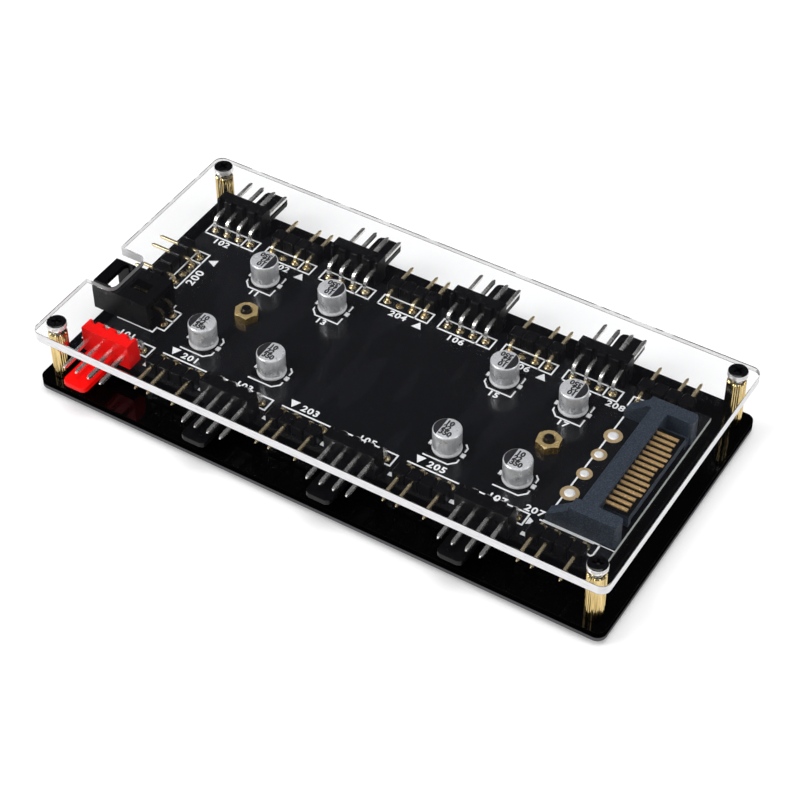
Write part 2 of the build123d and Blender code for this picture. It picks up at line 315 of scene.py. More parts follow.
def throw_away(*models: Piece) -> None:
    """Clears finished models from the bench, once they are copied."""
    for model in models:
        bpy.data.objects.remove(model)


def row_of(model: Piece, steps: Sequence[Point3], name: str) -> Piece:
    """Moves copies of a bench piece by these steps, as one piece.

    Args:
        model: The modelled piece, which is then thrown away.
        steps: How far each copy is moved.
        name: The joined piece's name.

    Returns:
        The joined copies.
    """
    copies = [shift(copy_of(model), step) for step in steps]
    throw_away(model)
    return join(copies, name)


def wear(piece: Piece, *finishes: bpy.types.Material) -> None:
    """Gives a piece these materials, in this order, and no others."""
    piece.data.materials.clear()
    for finish in finishes:
        piece.data.materials.append(finish)


def figures(
    text: str, size: float, weight: float, height: float, align: str = "CENTER", gap: float = 1.0
) -> Piece:
    """A plain number as a flat mesh at the origin.

    Args:
        text: The number.
        size: Its type size.
        weight: How much its strokes are thickened.
        height: How thick the print is.
        align: Which of its sides stands at the origin.
        gap: How far its figures stand apart, as a share of the usual.

    Returns:
        The number.
    """
    bpy.ops.object.select_all(action="DESELECT")
    bpy.ops.object.text_add(location=(0, 0, 0))
    mark = bpy.context.active_object
    mark.data.body = text
    mark.data.size = size
    mark.data.align_x, mark.data.align_y = align, "CENTER"
    mark.data.space_character = gap
    mark.data.offset = weight
    mark.data.extrude = height / 2
    mark.data.resolution_u = 3
    hold(mark)
    bpy.ops.object.convert(target="MESH")
    return bpy.context.active_object


def set_down(
    piece: Piece,
    name: str,
    finish: bpy.types.Material,
    replaced: Sequence[str] = (),
    place: Optional[Matrix] = None,
) -> Piece:
    """Takes a piece from the bench to its place on the hub, in metres, and dresses it.

    Args:
        piece: The modelled piece, in millimetres.
        name: Its name on the hub.
        finish: Its material, unless it already carries its own.
        replaced: The CAD nodes that it stands for.
        place: Its place on the hub in millimetres.

    Returns:
        The piece, riding on the hub.
    """
    hold(piece)
    piece.name = name
    piece.data.name = name
    piece.matrix_world = Matrix.Scale(MM, 4) @ (place or Matrix.Identity(4))
    bpy.ops.object.transform_apply(location=True, rotation=True, scale=True)
    if not piece.data.materials:
        wear(piece, finish)
    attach(piece, "root")
    if replaced:
        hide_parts(*replaced)
    LOG.info("%s: %d faces", name, len(piece.data.polygons))
    return piece


def ribbon(points: Sequence[Point2], width: float) -> List[Point2]:
    """The outline of a printed line of even width.

    Args:
        points: The points that the line runs through.
        width: Its width.

    Returns:
        The outline, with mitred corners and square ends.
    """
    line = [Vector(point) for point in points]
    sides: List[Tuple[Vector, Vector]] = []
    for index, point in enumerate(line):
        before = (point - line[index - 1]).normalized() if index else None
        after = (line[index + 1] - point).normalized() if index + 1 < len(line) else None
        way = (before or after) + (after or before)
        way.normalize()
        across = Vector((-way.y, way.x))
        lead = before or after
        reach = width / 2 / max(0.3, across.dot(Vector((-lead.y, lead.x))))
        end = way * (width / 2) * ((after is None) - (before is None))
        sides.append((point + across * reach + end, point - across * reach + end))
    return [tuple(left) for left, _ in sides] + [tuple(right) for _, right in reversed(sides)]


# The hub's levels and the ports' places


@dataclass(frozen=True)
class Levels:
    """Heights of the stack and of the print, in millimetres."""

    base_bottom: float = 1.1
    base_top: float = 3.1
    board_bottom: float = 4.7
    board_top: float = 6.3
    cover_bottom: float = 12.1
    cover_top: float = 14.1
    ink_height: float = 0.03


LEVELS = Levels()
PITCH = 2.54
WAYS = [(way - 1.5) * PITCH for way in range(4)]
ROW_Y = 16.35
GROUP_PITCH = 24.66
FAN_X = [-44.42 + GROUP_PITCH * group for group in range(4)]
LIGHT_X = [x + GROUP_PITCH / 2 for x in FAN_X]


def on_board(x: float, y: float, turn: float = 0.0) -> Matrix:
    """A place on the board's top, turned about the vertical by degrees."""
    spot = Matrix.Translation((x, y, LEVELS.board_top))
    return spot @ Matrix.Rotation(math.radians(turn), 4, "Z")


def row_places(columns: Sequence[float]) -> Dict[int, Matrix]:
    """Ports by number: odd ones at the front, turned round, and even ones at the back."""
    places = {}
    for group, x in enumerate(columns):
        places[2 * group + 1] = on_board(x, -ROW_Y, 180)
        places[2 * group + 2] = on_board(x, ROW_Y)
    return places


LIGHT_INPUT = on_board(-46.4, 4.7, 90)
SIGNAL_INPUT = on_board(-41.55, -7.75, 90)
CAN_X = (-32.6, -18.4, 16.3, 29.5)
CAN_Y = 9.45


# Finishes


class Shades:
    """A material's nodes, with its shader and the piece's own coordinates ready."""

    def __init__(self, name: str) -> None:
        """Starts a material with one shader."""
        self.material = bpy.data.materials.new(name)
        self.material.use_nodes = True
        self.tree = self.material.node_tree
        self.shader = self.tree.nodes["Principled BSDF"]
        self.place = self.tree.nodes.new("ShaderNodeTexCoord").outputs["Object"]

    def set(self, **values: object) -> None:
        """Sets the shader's own sockets, with _ for each space in a name."""
        for key, value in values.items():
            self.shader.inputs[key.replace("_", " ")].default_value = value

    def link(self, source: bpy.types.NodeSocket, name: str) -> None:
        """Links a node's output to one of the shader's sockets."""
        self.tree.links.new(source, self.shader.inputs[name])

    def noise(
        self, scale: float, detail: float = 3.0, stretch: Point3 = (1, 1, 1)
    ) -> bpy.types.NodeSocket:
        """Cloudy noise.

        Args:
            scale: Features per millimetre.
            detail: How many finer layers it has.
            stretch: How much faster it changes along each axis.

        Returns:
            The noise's value.
        """
        mapping = self.tree.nodes.new("ShaderNodeMapping")
        mapping.inputs["Scale"].default_value = [scale * way / MM for way in stretch]
        node = self.tree.nodes.new("ShaderNodeTexNoise")
        node.inputs["Scale"].default_value = 1.0
        node.inputs["Detail"].default_value = detail
        self.tree.links.new(self.place, mapping.inputs["Vector"])
        self.tree.links.new(mapping.outputs["Vector"], node.inputs["Vector"])
        return node.outputs["Fac"]

    def blend(
        self, value: bpy.types.NodeSocket, low: Colour, high: Colour, start: float, end: float
    ) -> bpy.types.NodeSocket:
        """Two colours, blended by a value.

        Args:
            value: The value.
            low: The colour at the start value.
            high: The colour at the end value.
            start: The start value.
            end: The end value.

        Returns:
            The blended colour.
        """
        ramp = self.tree.nodes.new("ShaderNodeValToRGB")
        for element, position, colour in zip(
            ramp.color_ramp.elements, (start, end), (low, high)
        ):
            element.position = position
            element.color = (*colour, 1.0)
        self.tree.links.new(value, ramp.inputs["Fac"])
        return ramp.outputs["Color"]

    def span(self, value: bpy.types.NodeSocket, low: float, high: float) -> bpy.types.NodeSocket:
        """A noise value, brought to a range."""
        node = self.tree.nodes.new("ShaderNodeMapRange")
        node.inputs["From Min"].default_value = 0.3
        node.inputs["From Max"].default_value = 0.7
        node.inputs["To Min"].default_value = low
        node.inputs["To Max"].default_value = high
        self.tree.links.new(value, node.inputs["Value"])
        return node.outputs["Result"]

    def relief(self, value: bpy.types.NodeSocket, depth: float, strength: float = 1.0) -> None:
        """Raises the surface by a value, to a depth in millimetres."""
        node = self.tree.nodes.new("ShaderNodeBump")
        node.inputs["Distance"].default_value = depth * MM
        node.inputs["Strength"].default_value = strength
        self.tree.links.new(value, node.inputs["Height"])
        self.link(node.outputs["Normal"], "Normal")

    def facing(self, axis: Axis = Axis.Z) -> bpy.types.NodeSocket:
        """How far a surface faces along an axis, either way, from 0 to 1."""
        geometry = self.tree.nodes.new("ShaderNodeNewGeometry")
        parts = self.tree.nodes.new("ShaderNodeSeparateXYZ")
        size = self.tree.nodes.new("ShaderNodeMath")
        size.operation = "ABSOLUTE"
        self.tree.links.new(geometry.outputs["True Normal"], parts.inputs["Vector"])
        self.tree.links.new(parts.outputs[axis.name], size.inputs[0])
        return size.outputs[0]

    def above(self, low: float, high: float) -> bpy.types.NodeSocket:
        """How far a place is above one height, from 0 there to 1 at another, in millimetres."""
        parts = self.tree.nodes.new("ShaderNodeSeparateXYZ")
        node = self.tree.nodes.new("ShaderNodeMapRange")
        node.inputs["From Min"].default_value = low * MM
        node.inputs["From Max"].default_value = high * MM
        self.tree.links.new(self.place, parts.inputs["Vector"])
        self.tree.links.new(parts.outputs["Z"], node.inputs["Value"])
        return node.outputs["Result"]

    def product(self, first: bpy.types.NodeSocket, second: bpy.types.NodeSocket) -> bpy.types.NodeSocket:
        """Two values, multiplied."""
        node = self.tree.nodes.new("ShaderNodeMath")
        node.operation = "MULTIPLY"
        self.tree.links.new(first, node.inputs[0])
        self.tree.links.new(second, node.inputs[1])
        return node.outputs[0]

    def mixed(
        self, share: bpy.types.NodeSocket, first: bpy.types.NodeSocket, second: bpy.types.NodeSocket
    ) -> bpy.types.NodeSocket:
        """Two painted colours, mixed by the share of the second."""
        mix = self.tree.nodes.new("ShaderNodeMix")
        mix.data_type = "RGBA"
        sockets = {item.identifier: item for item in mix.inputs}
        self.tree.links.new(share, sockets["Factor_Float"])
        self.tree.links.new(first, sockets["A_Color"])
        self.tree.links.new(second, sockets["B_Color"])
        return next(item for item in mix.outputs if item.identifier == "Result_Color")


@dataclass(frozen=True)
class Moulded:
    """Moulded plastic: a cloudy colour, a fine grain and a satin surface."""

    name: str
    dark: Colour
    light: Colour
    roughness: Tuple[float, float] = (0.38, 0.55)
    grain: float = 6.0
    depth: float = 0.004
    specular: float = 0.5
    speckle: Tuple[float, float] = (0.35, 0.65)

    def make(self) -> bpy.types.Material:
        """Builds the material."""
        shades = Shades(self.name)
        fine = shades.noise(self.grain, 4.0)
        shades.link(shades.blend(fine, self.dark, self.light, *self.speckle), "Base Color")
        shades.link(shades.span(shades.noise(0.7), *self.roughness), "Roughness")
        shades.relief(fine, self.depth)
        shades.set(Specular_IOR_Level=self.specular)
        return shades.material


@dataclass(frozen=True)
class Metal:
    """Bare or plated metal, with marks along one way: drawing marks, and on the brass painted reflection
    streaks.
    """

    name: str
    dark: Colour
    light: Colour
    roughness: Tuple[float, float] = (0.18, 0.34)
    grain: float = 2.0
    stretch: Point3 = (1, 1, 1)
    depth: float = 0.001
    metallic: float = 1.0
    # A darker colour painted on the walls as shade, where one is given.
    wall: Optional[Colour] = None

    def make(self) -> bpy.types.Material:
        """Builds the material, with painted shade on the walls where a wall colour is given."""
        shades = Shades(self.name)
        marks = shades.noise(self.grain, 4.0, self.stretch)
        colour = shades.blend(marks, self.dark, self.light, 0.3, 0.7)
        # Painted shade: walls take the wall colour, while faces that look up or down keep the metal's own.
        if self.wall:
            level = shades.blend(shades.facing(), (0, 0, 0), (1, 1, 1), 0.35, 0.6)
            colour = shades.mixed(level, shades.blend(marks, self.wall, self.dark, 0.5, 1.0), colour)
        shades.link(colour, "Base Color")
        shades.link(shades.span(shades.noise(0.9), *self.roughness), "Roughness")
        shades.relief(marks, self.depth)
        shades.set(Metallic=self.metallic)
        return shades.material


@dataclass(frozen=True)
class ClearSheet:
    """Clear acrylic with a faint haze of wiping marks."""

    name: str
    tint: Colour = (0.975, 0.98, 0.98)
    index: float = 1.49
    haze: Tuple[float, float] = (0.0, 0.008)

    def make(self) -> bpy.types.Material:
        """Builds the material."""
        shades = Shades(self.name)
        shades.set(Base_Color=(*self.tint, 1), Transmission_Weight=1.0, IOR=self.index)
        shades.link(shades.span(shades.noise(0.05, 6.0, (1, 4, 1)), *self.haze), "Roughness")
        return shades.material


@dataclass(frozen=True)
class FrostedEdge:
    """The cut edge of the clear sheet: frosted, and painted white for the light that it gathers."""

    name: str
    dark: Colour = (0.82, 0.81, 0.82)
    light: Colour = (0.96, 0.95, 0.95)

    def make(self) -> bpy.types.Material:
        """Builds the material."""
        shades = Shades(self.name)
        saw = shades.noise(0.6, 4.0, (1, 1, 6))
        shades.link(shades.blend(saw, self.dark, self.light, 0.3, 0.6), "Base Color")
        shades.link(shades.span(saw, 0.25, 0.5), "Roughness")
        shades.relief(saw, 0.01)
        return shades.material


@dataclass(frozen=True)
class FarEdge:
    """An edge seen from inside the clear sheet: hazy below a broken grey line."""

    name: str
    line: Colour = (0.12, 0.12, 0.14)
    wall: Colour = (0.95, 0.95, 0.95)
    height: float = 0.6
    haze: float = 0.4

    def make(self) -> bpy.types.Material:
        """Builds the material."""
        shades = Shades(self.name)
        saw = shades.noise(0.6, 4.0)
        dashes = shades.blend(shades.noise(0.3, 2.0), (0, 0, 0), (1, 1, 1), 0.38, 0.46)
        low = LEVELS.cover_top - self.height
        line = shades.product(shades.above(low, low + 0.1), dashes)
        shades.link(shades.blend(line, self.wall, self.line, 0, 1), "Base Color")
        shades.link(shades.span(line, self.haze, 1.0), "Alpha")
        shades.link(shades.span(saw, 0.35, 0.5), "Roughness")
        return shades.material


@dataclass(frozen=True)
class BlackSheet:
    """Polished black acrylic with a few dust specks and a faint ripple, and a painted floor reflection: a
    grey band low on its walls.
    """

    name: str
    colour: Colour = (0.0008, 0.0008, 0.001)
    dust: Colour = (0.006, 0.006, 0.007)
    # The painted floor reflection's grey, and how high it reaches on the walls.
    sawn: Colour = (0.11, 0.11, 0.115)
    sawn_height: float = 0.7

    def make(self) -> bpy.types.Material:
        """Builds the material."""
        shades = Shades(self.name)
        specks = shades.noise(2.2, 2.0)
        top = shades.blend(specks, self.colour, self.dust, 0.66, 0.78)
        # Painted reflection: the walls are grey below this line, for the floor mirrored there, and black
        # above.
        line = LEVELS.base_bottom + self.sawn_height
        wall = shades.blend(shades.above(line, line + 0.12), self.sawn, self.colour, 0, 1)
        shades.link(shades.mixed(shades.facing(), wall, top), "Base Color")
        shades.link(shades.span(shades.noise(0.12), 0.03, 0.08), "Roughness")
        shades.relief(shades.noise(0.03, 1.0), 0.02)
        shades.link(shades.span(shades.facing(), 0.0, 0.12), "Specular IOR Level")
        return shades.material


@dataclass(frozen=True)
class SolderMask:
    """Black solder mask over faint copper tracks; its end walls show light glass fibre above painted shade,
    and its side walls are painted shade.
    """

    name: str
    mask: Colour = (0.0044, 0.0048, 0.0060)
    track: Colour = (0.0068, 0.0072, 0.0088)
    wall_dark: Colour = (0.012, 0.012, 0.012)
    wall_light: Colour = (0.68, 0.72, 0.68)

    def make(self) -> bpy.types.Material:
        """Builds the material."""
        shades = Shades(self.name)
        tracks = shades.noise(0.22, 1.0, (1, 0.25, 1))
        top = shades.blend(tracks, self.mask, self.track, 0.49, 0.52)
        # Painted shade: the end walls are dark below this height and light glass fibre above, and the side
        # walls are dark with faint layers.
        shade_line = LEVELS.board_bottom + 0.7
        end_wall = shades.blend(shades.above(shade_line, shade_line + 0.15), self.wall_dark, self.wall_light, 0, 1)
        layers = shades.noise(0.9, 4.0, (0.6, 0.6, 12))
        shaded_side_wall = shades.blend(layers, self.wall_dark, self.track, 0.35, 0.65)
        wall = shades.mixed(shades.facing(Axis.X), shaded_side_wall, end_wall)
        shades.link(shades.mixed(shades.facing(), wall, top), "Base Color")
        fine = shades.noise(5.0, 3.0)
        shades.link(shades.span(fine, 0.12, 0.2), "Roughness")
        shades.relief(tracks, 0.02)
        return shades.material


@dataclass
class Finishes:
    """Every finish of the hub, made once."""

    satin: Tuple[float, float] = (0.26, 0.38)
    polished: Tuple[float, float] = (0.1, 0.18)
    drawn: Tuple[float, float] = (0.2, 0.3)
    dull: Tuple[float, float] = (0.4, 0.52)

    def __post_init__(self) -> None:
        """Makes the materials."""
        self.sheets()
        self.plastics()
        self.strong_metals()
        self.plated_metals()

    def sheets(self) -> None:
        """Makes the plates' and the board's finishes."""
        self.base = BlackSheet("polished_black_acrylic").make()
        self.cover = ClearSheet("clear_acrylic_sheet").make()
        self.cover_edge = FrostedEdge("clear_acrylic_edge").make()
        self.cover_far_edge = FarEdge("clear_acrylic_far_edge").make()
        self.mask = SolderMask("black_solder_mask").make()

    def plastics(self) -> None:
        """Makes the moulded plastics and the inks."""
        self.nylon = Moulded(
            "black_nylon", (0.0014, 0.0014, 0.0018), (0.0034, 0.0034, 0.0042), self.satin, specular=0.15
        ).make()
        self.red = Moulded(
            "red_nylon", (0.86, 0.003, 0.002), (0.97, 0.005, 0.004), self.satin, specular=0.12
        ).make()
        self.slate = Moulded(
            "slate_nylon",
            (0.010, 0.016, 0.026),
            (0.058, 0.077, 0.108),
            (0.4, 0.55),
            grain=4.5,
            depth=0.012,
            speckle=(0.42, 0.72),
            specular=0.4,
        ).make()
        self.ink = Moulded("white_board_print", (0.80, 0.81, 0.82), (0.92, 0.93, 0.94), grain=3.0).make()
        self.can_ink = Moulded(
            "black_can_print", (0.010, 0.010, 0.012), (0.03, 0.03, 0.034), (0.3, 0.4)
        ).make()

    def strong_metals(self) -> None:
        """Makes the cans', the fasteners' and the standoffs' metals."""
        self.can = Metal(
            "bare_aluminium",
            (0.78, 0.79, 0.81),
            (0.92, 0.93, 0.95),
            (0.25, 0.36),
            grain=3.0,
            stretch=(1, 1, 0.12),
            metallic=0.5,
        ).make()
        # Painted reflection: the dark and gold streaks up the standoffs stand in for the knurl's reflections,
        # over the brass's own tone.
        self.brass = Metal(
            "turned_brass",
            (0.40, 0.27, 0.09),
            (0.88, 0.69, 0.32),
            self.polished,
            grain=2.6,
            stretch=(1, 1, 0.05),
        ).make()
        # The nut's walls are painted dark brown as shade; its top keeps the pale brass.
        self.nut = Metal(
            "pale_brass",
            (0.76, 0.55, 0.23),
            (0.92, 0.71, 0.35),
            self.drawn,
            metallic=0.65,
            wall=(0.24, 0.15, 0.04),
        ).make()
        self.steel = Metal(
            "black_oxide_steel", (0.002, 0.002, 0.0025), (0.008, 0.008, 0.009), self.polished, metallic=0.2
        ).make()
        # Painted highlight: a light steel for the bright band on the black screw heads' rims.
        self.rim_steel = Metal(
            "bright_rim_steel", (0.82, 0.80, 0.78), (0.94, 0.93, 0.91), self.drawn, metallic=0.6
        ).make()

    def plated_metals(self) -> None:
        """Makes the pins', the contacts' and the solder's metals."""
        self.tin = Metal(
            "tinned_pin", (0.80, 0.78, 0.75), (0.92, 0.91, 0.88), self.drawn, grain=5.0, metallic=0.92
        ).make()
        self.gold = Metal(
            "gold_flash", (0.80, 0.64, 0.38), (0.92, 0.78, 0.52), self.drawn, grain=5.0, metallic=0.85
        ).make()
        self.contact = Metal(
            "contact_gold", (0.58, 0.36, 0.15), (0.74, 0.50, 0.24), self.drawn, grain=4.0, metallic=0.5
        ).make()
        self.shaded_pin = Metal(
            "shaded_pin", (0.03, 0.025, 0.017), (0.08, 0.065, 0.04), self.drawn, grain=4.0, metallic=0.6
        ).make()
        self.solder = Metal(
            "solder_joint", (0.50, 0.36, 0.17), (0.90, 0.76, 0.48), self.drawn, grain=1.6
        ).make()
        self.copper = Metal(
            "plated_copper", (0.50, 0.36, 0.19), (0.62, 0.46, 0.26), self.dull, metallic=0.4
        ).make()
        self.bright = Metal(
            "bright_solder", (0.84, 0.84, 0.85), (0.95, 0.95, 0.96), self.dull, metallic=0.25
        ).make()


# Plates


@dataclass
class Plates:
    """The black base and the clear cover."""

    finishes: Finishes
    length: float = 110.0
    width: float = 55.6
    corner: float = 1.7
    screw_x: float = 51.8
    screw_y: float = 24.6
    board_screw_x: float = 30.1
    hole: float = 1.1
    notch_y: float = -7.35
    notch_width: float = 9.8
    notch_depth: float = 5.6
    notch_corner: float = 1.5
    rim: float = 0.14

    def blank(self, name: str, low: float, high: float) -> Piece:
        """A plate with rounded corners.

        Args:
            name: Its name.
            low: Its underside.
            high: Its top.

        Returns:
            The plate.
        """
        x, y = self.length / 2, self.width / 2
        plate = block(name, (-x, -y, low), (x, y, high))
        with editing(plate):
            pick(plate, Part.EDGE, lambda edge: runs(edge, Axis.Z))
            bpy.ops.mesh.bevel(offset=self.corner, segments=10, affect="EDGES")
        return plate

    def drill(self, plate: Piece, spots: Sequence[Point2]) -> None:
        """Drills the screw holes."""
        for spot in spots:
            drill = rod("drill", self.hole, 0, 20)
            trim(plate, shift(drill, (*spot, 0)))

    def corners(self) -> List[Point2]:
        """The corner screws' places."""
        return [(sx * self.screw_x, sy * self.screw_y) for sx in (-1, 1) for sy in (-1, 1)]

    def build(self) -> None:
        """Models and dresses both plates."""
        self.make_base()
        self.make_cover()

    def make_base(self) -> None:
        """Makes the black base, with the holes for all six screws."""
        base = self.blank("base", LEVELS.base_bottom, LEVELS.base_top)
        self.drill(base, self.corners() + [(-self.board_screw_x, 0), (self.board_screw_x, 0)])
        soften(base, self.rim)
        set_down(base, "base_sheet", self.finishes.base, ["base_plate"])

    def cut_notch(self, cover: Piece) -> None:
        """Cuts the signal input's notch into the left edge, with rounded inner corners."""
        left, half = -self.length / 2, self.notch_width / 2
        inner, low, high = left + self.notch_depth, LEVELS.cover_bottom - 2, LEVELS.cover_top + 3
        tool = block("notch", (left - 5, self.notch_y - half, low), (inner, self.notch_y + half, high))
        with editing(tool):
            pick(tool, Part.EDGE, lambda edge: runs(edge, Axis.Z) and abs(middle(edge).x - inner) < 0.1)
            bpy.ops.mesh.bevel(offset=self.notch_corner, segments=5, affect="EDGES")
        trim(cover, tool)

    def make_cover(self) -> None:
        """Makes the clear cover, with frosted near edges painted white for the light they gather, and hazy
        far ones.
        """
        cover = self.blank("cover", LEVELS.cover_bottom, LEVELS.cover_top)
        self.cut_notch(cover)
        self.drill(cover, self.corners())
        soften(cover, self.rim)
        wear(cover, self.finishes.cover, self.finishes.cover_edge, self.finishes.cover_far_edge)
        # Painted light: the near edges, facing +X and -Y, wear the white lit edge; the far edges the hazy
        # one.
        for face in cover.data.polygons:
            if abs(face.normal.z) < 0.3 and not self.in_hole(face.center):
                near = max(face.normal.x, -face.normal.y) > 0.3
                face.material_index = 1 if near else 2
        cover = set_down(cover, "cover_sheet", self.finishes.cover, ["cover_plate"])
        cover.visible_shadow = False
        cover.visible_diffuse = False

    def in_hole(self, point: Vector) -> bool:
        """Whether a point is on the wall of one of the corner screws' holes."""
        return any(math.hypot(point.x - x, point.y - y) < self.hole + 0.2 for x, y in self.corners())


# Fasteners


@dataclass
class Fasteners:
    """Pan-head screws, knurled standoffs, and the nuts on the board."""

    finishes: Finishes
    head: float = 1.75
    head_height: float = 1.1
    shank: float = 0.95
    thread_pitch: float = 0.4
    thread_depth: float = 0.14
    cross_width: float = 0.5
    cross_reach: float = 1.12
    cross_depth: float = 0.75
    cross_turn: float = 0.5
    tip: float = 0.55
    corner_length: float = 5.2
    board_length: float = 7.5
    bore: float = 0.96
    standoff: float = 1.65
    knurl_ridges: int = 28
    knurl_depth: float = 0.08
    chamfer: float = 0.18
    nut_flats: float = 4.0
    nut_height: float = 1.6
    nut_turning: float = 0.3
    nut_flare: float = 0.34

    def screw(self, length: float) -> Piece:
        """A pan-head screw standing on its seat, with its shank below.

        Args:
            length: Its shank's length.

        Returns:
            The screw.
        """
        rim, top = self.head, self.head_height
        head = [
            (0, top),
            (rim - 0.45, top),
            (rim - 0.2, top - 0.05),
            (rim - 0.06, top - 0.16),
            (rim, top - 0.32),
            (rim, 0.06),
            (rim - 0.06, 0),
        ]
        turns = int(length / self.thread_pitch) - 1
        thread = [(self.shank, 0)]
        for turn in range(turns):
            crest = -self.thread_pitch * (turn + 0.5)
            valley = (self.shank - self.thread_depth, crest - self.thread_pitch / 2)
            thread += [(self.shank, crest), valley]
        end = [(self.shank - self.thread_depth, -length + 0.2), (self.tip, -length), (0, -length)]
        screw = lathe("screw", head + thread + end, 40)
        reach, half = self.cross_reach, self.cross_width / 2
        for turn in (0, math.pi / 2):
            tool = block("cross", (-reach, -half, top - self.cross_depth), (reach, half, top + 0.4))
            with editing(tool):
                pick(tool, Part.FACE, lambda face: face.normal.z < -0.9)
                bpy.ops.transform.resize(value=(0.55, 0.8, 1), center_override=(0, 0, 0))
            trim(screw, shift(tool, (0, 0, 0), turn + self.cross_turn))
        smooth(screw)
        # Painted highlight: the head's rim below its top wears the light rim steel, for the bright band the
        # black head shows there.
        wear(screw, self.finishes.steel, self.finishes.rim_steel)
        for face in screw.data.polygons:
            outer = math.hypot(face.center.x, face.center.y) > rim - 0.1
            if outer and face.center.z < top - 0.2:
                face.material_index = 1
        return screw

    def ridged(self, low: float, high: float) -> Piece:
        """A knurled standoff between two heights.

        Args:
            low: Its foot.
            high: Its top.

        Returns:
            The standoff.
        """
        sides = 2 * self.knurl_ridges
        bpy.ops.mesh.primitive_cylinder_add(
            vertices=sides, radius=self.standoff, depth=high - low, location=(0, 0, (low + high) / 2)
        )
        post = bpy.context.active_object
        bpy.ops.object.transform_apply(location=True, rotation=True, scale=True)
        with editing(post):
            valley = math.tau / sides
            pick(post, Part.VERT, lambda v: round(math.atan2(v.co.x, v.co.y) / valley) % 2 == 1)
            inward = 1 - self.knurl_depth / self.standoff
            bpy.ops.transform.resize(value=(inward, inward, 1), center_override=(0, 0, 0))
            for end, way in ((high, -1), (low, 1)):
                pick(post, Part.FACE, lambda face: abs(face.calc_center_median().z - end) < 0.01)
                bpy.ops.transform.translate(value=(0, 0, way * self.chamfer))
                push = {"value": (0, 0, -way * self.chamfer)}
                bpy.ops.mesh.extrude_region_move(TRANSFORM_OT_translate=push)
                bpy.ops.transform.resize(value=(0.88, 0.88, 1), center_override=(0, 0, 0))
            tidy_normals()
        trim(post, rod("bore", self.bore, low - 1, high + 1))
        smooth(post, 25)
        return post

    def nut(self) -> Piece:
        """A hexagon nut with turned corners, standing on the board.

        Returns:
            The nut.
        """
        corner = self.nut_flats / 2 / math.cos(math.pi / 6)
        outline = [(corner * math.cos(k * math.pi / 3), corner * math.sin(k * math.pi / 3)) for k in range(6)]
        flat, wide, top, clear = self.nut_flats / 2, corner + 0.1, self.nut_height, 0.2
        shoulder = top - self.nut_turning
        nut = prism("nut", outline, Axis.Z, 0, top + clear)
        lens = [(0, -clear), (wide, -clear), (wide, shoulder), (flat - 0.02, top), (0, top)]
        trim(nut, lathe("lens", lens, 64), "INTERSECT")
        bore, mouth = self.bore, top + clear / 2
        hole = [(0, -1), (bore, -1), (bore, shoulder), (bore + self.nut_flare, mouth), (0, mouth)]
        trim(nut, lathe("hole", hole, 48))
        soften(nut, 0.04)
        return nut

    def build(self, corners: Sequence[Point2], board_screw_x: float) -> None:
        """Models the fasteners once and copies them to their places.

        Args:
            corners: The corner screws' places.
            board_screw_x: How far the board's screws are from the middle.
        """
        middles = [(-board_screw_x, 0), (board_screw_x, 0)]
        for kind, length, spots, level, way in (
            ("cover", self.corner_length, corners, LEVELS.cover_top, 1),
            ("base", self.corner_length, corners, LEVELS.base_bottom, -1),
            ("board", self.board_length, middles, LEVELS.base_bottom, -1),
        ):
            copies = self.set_many(self.screw(length), f"{kind}_screw_set", spots, level, way)
            set_down(copies, copies.name, self.finishes.steel, [f"{kind}_screws"])
        post = self.ridged(0, LEVELS.cover_bottom - LEVELS.base_top)
        posts = self.set_many(post, "standoff_set", corners, LEVELS.base_top)
        set_down(posts, posts.name, self.finishes.brass, ["corner_standoffs"])
        nuts = self.set_many(self.nut(), "board_nut_set", middles, LEVELS.board_top)
        set_down(nuts, nuts.name, self.finishes.nut, ["board_nuts"])

    def set_many(
        self, model: Piece, name: str, spots: Sequence[Point2], level: float, way: int = 1
    ) -> Piece:
        """Copies a fastener to its spots, as one piece.

        Args:
            model: The modelled fastener.
            name: The piece's name.
            spots: Where the fasteners stand.
            level: The height of their seats.
            way: 1 where they point up, -1 where they hang upside down.

        Returns:
            The copies, each turned a little further than the one before.
        """
        copies = []
        flip = Matrix.Rotation(0 if way > 0 else math.pi, 4, "X")
        for count, spot in enumerate(spots):
            turn = flip @ Matrix.Rotation(0.7 * count, 4, "Z")
            copies.append(laid(model, Matrix.Translation((*spot, level)) @ turn))
        throw_away(model)
        return join(copies, name)


# The board's pads and print


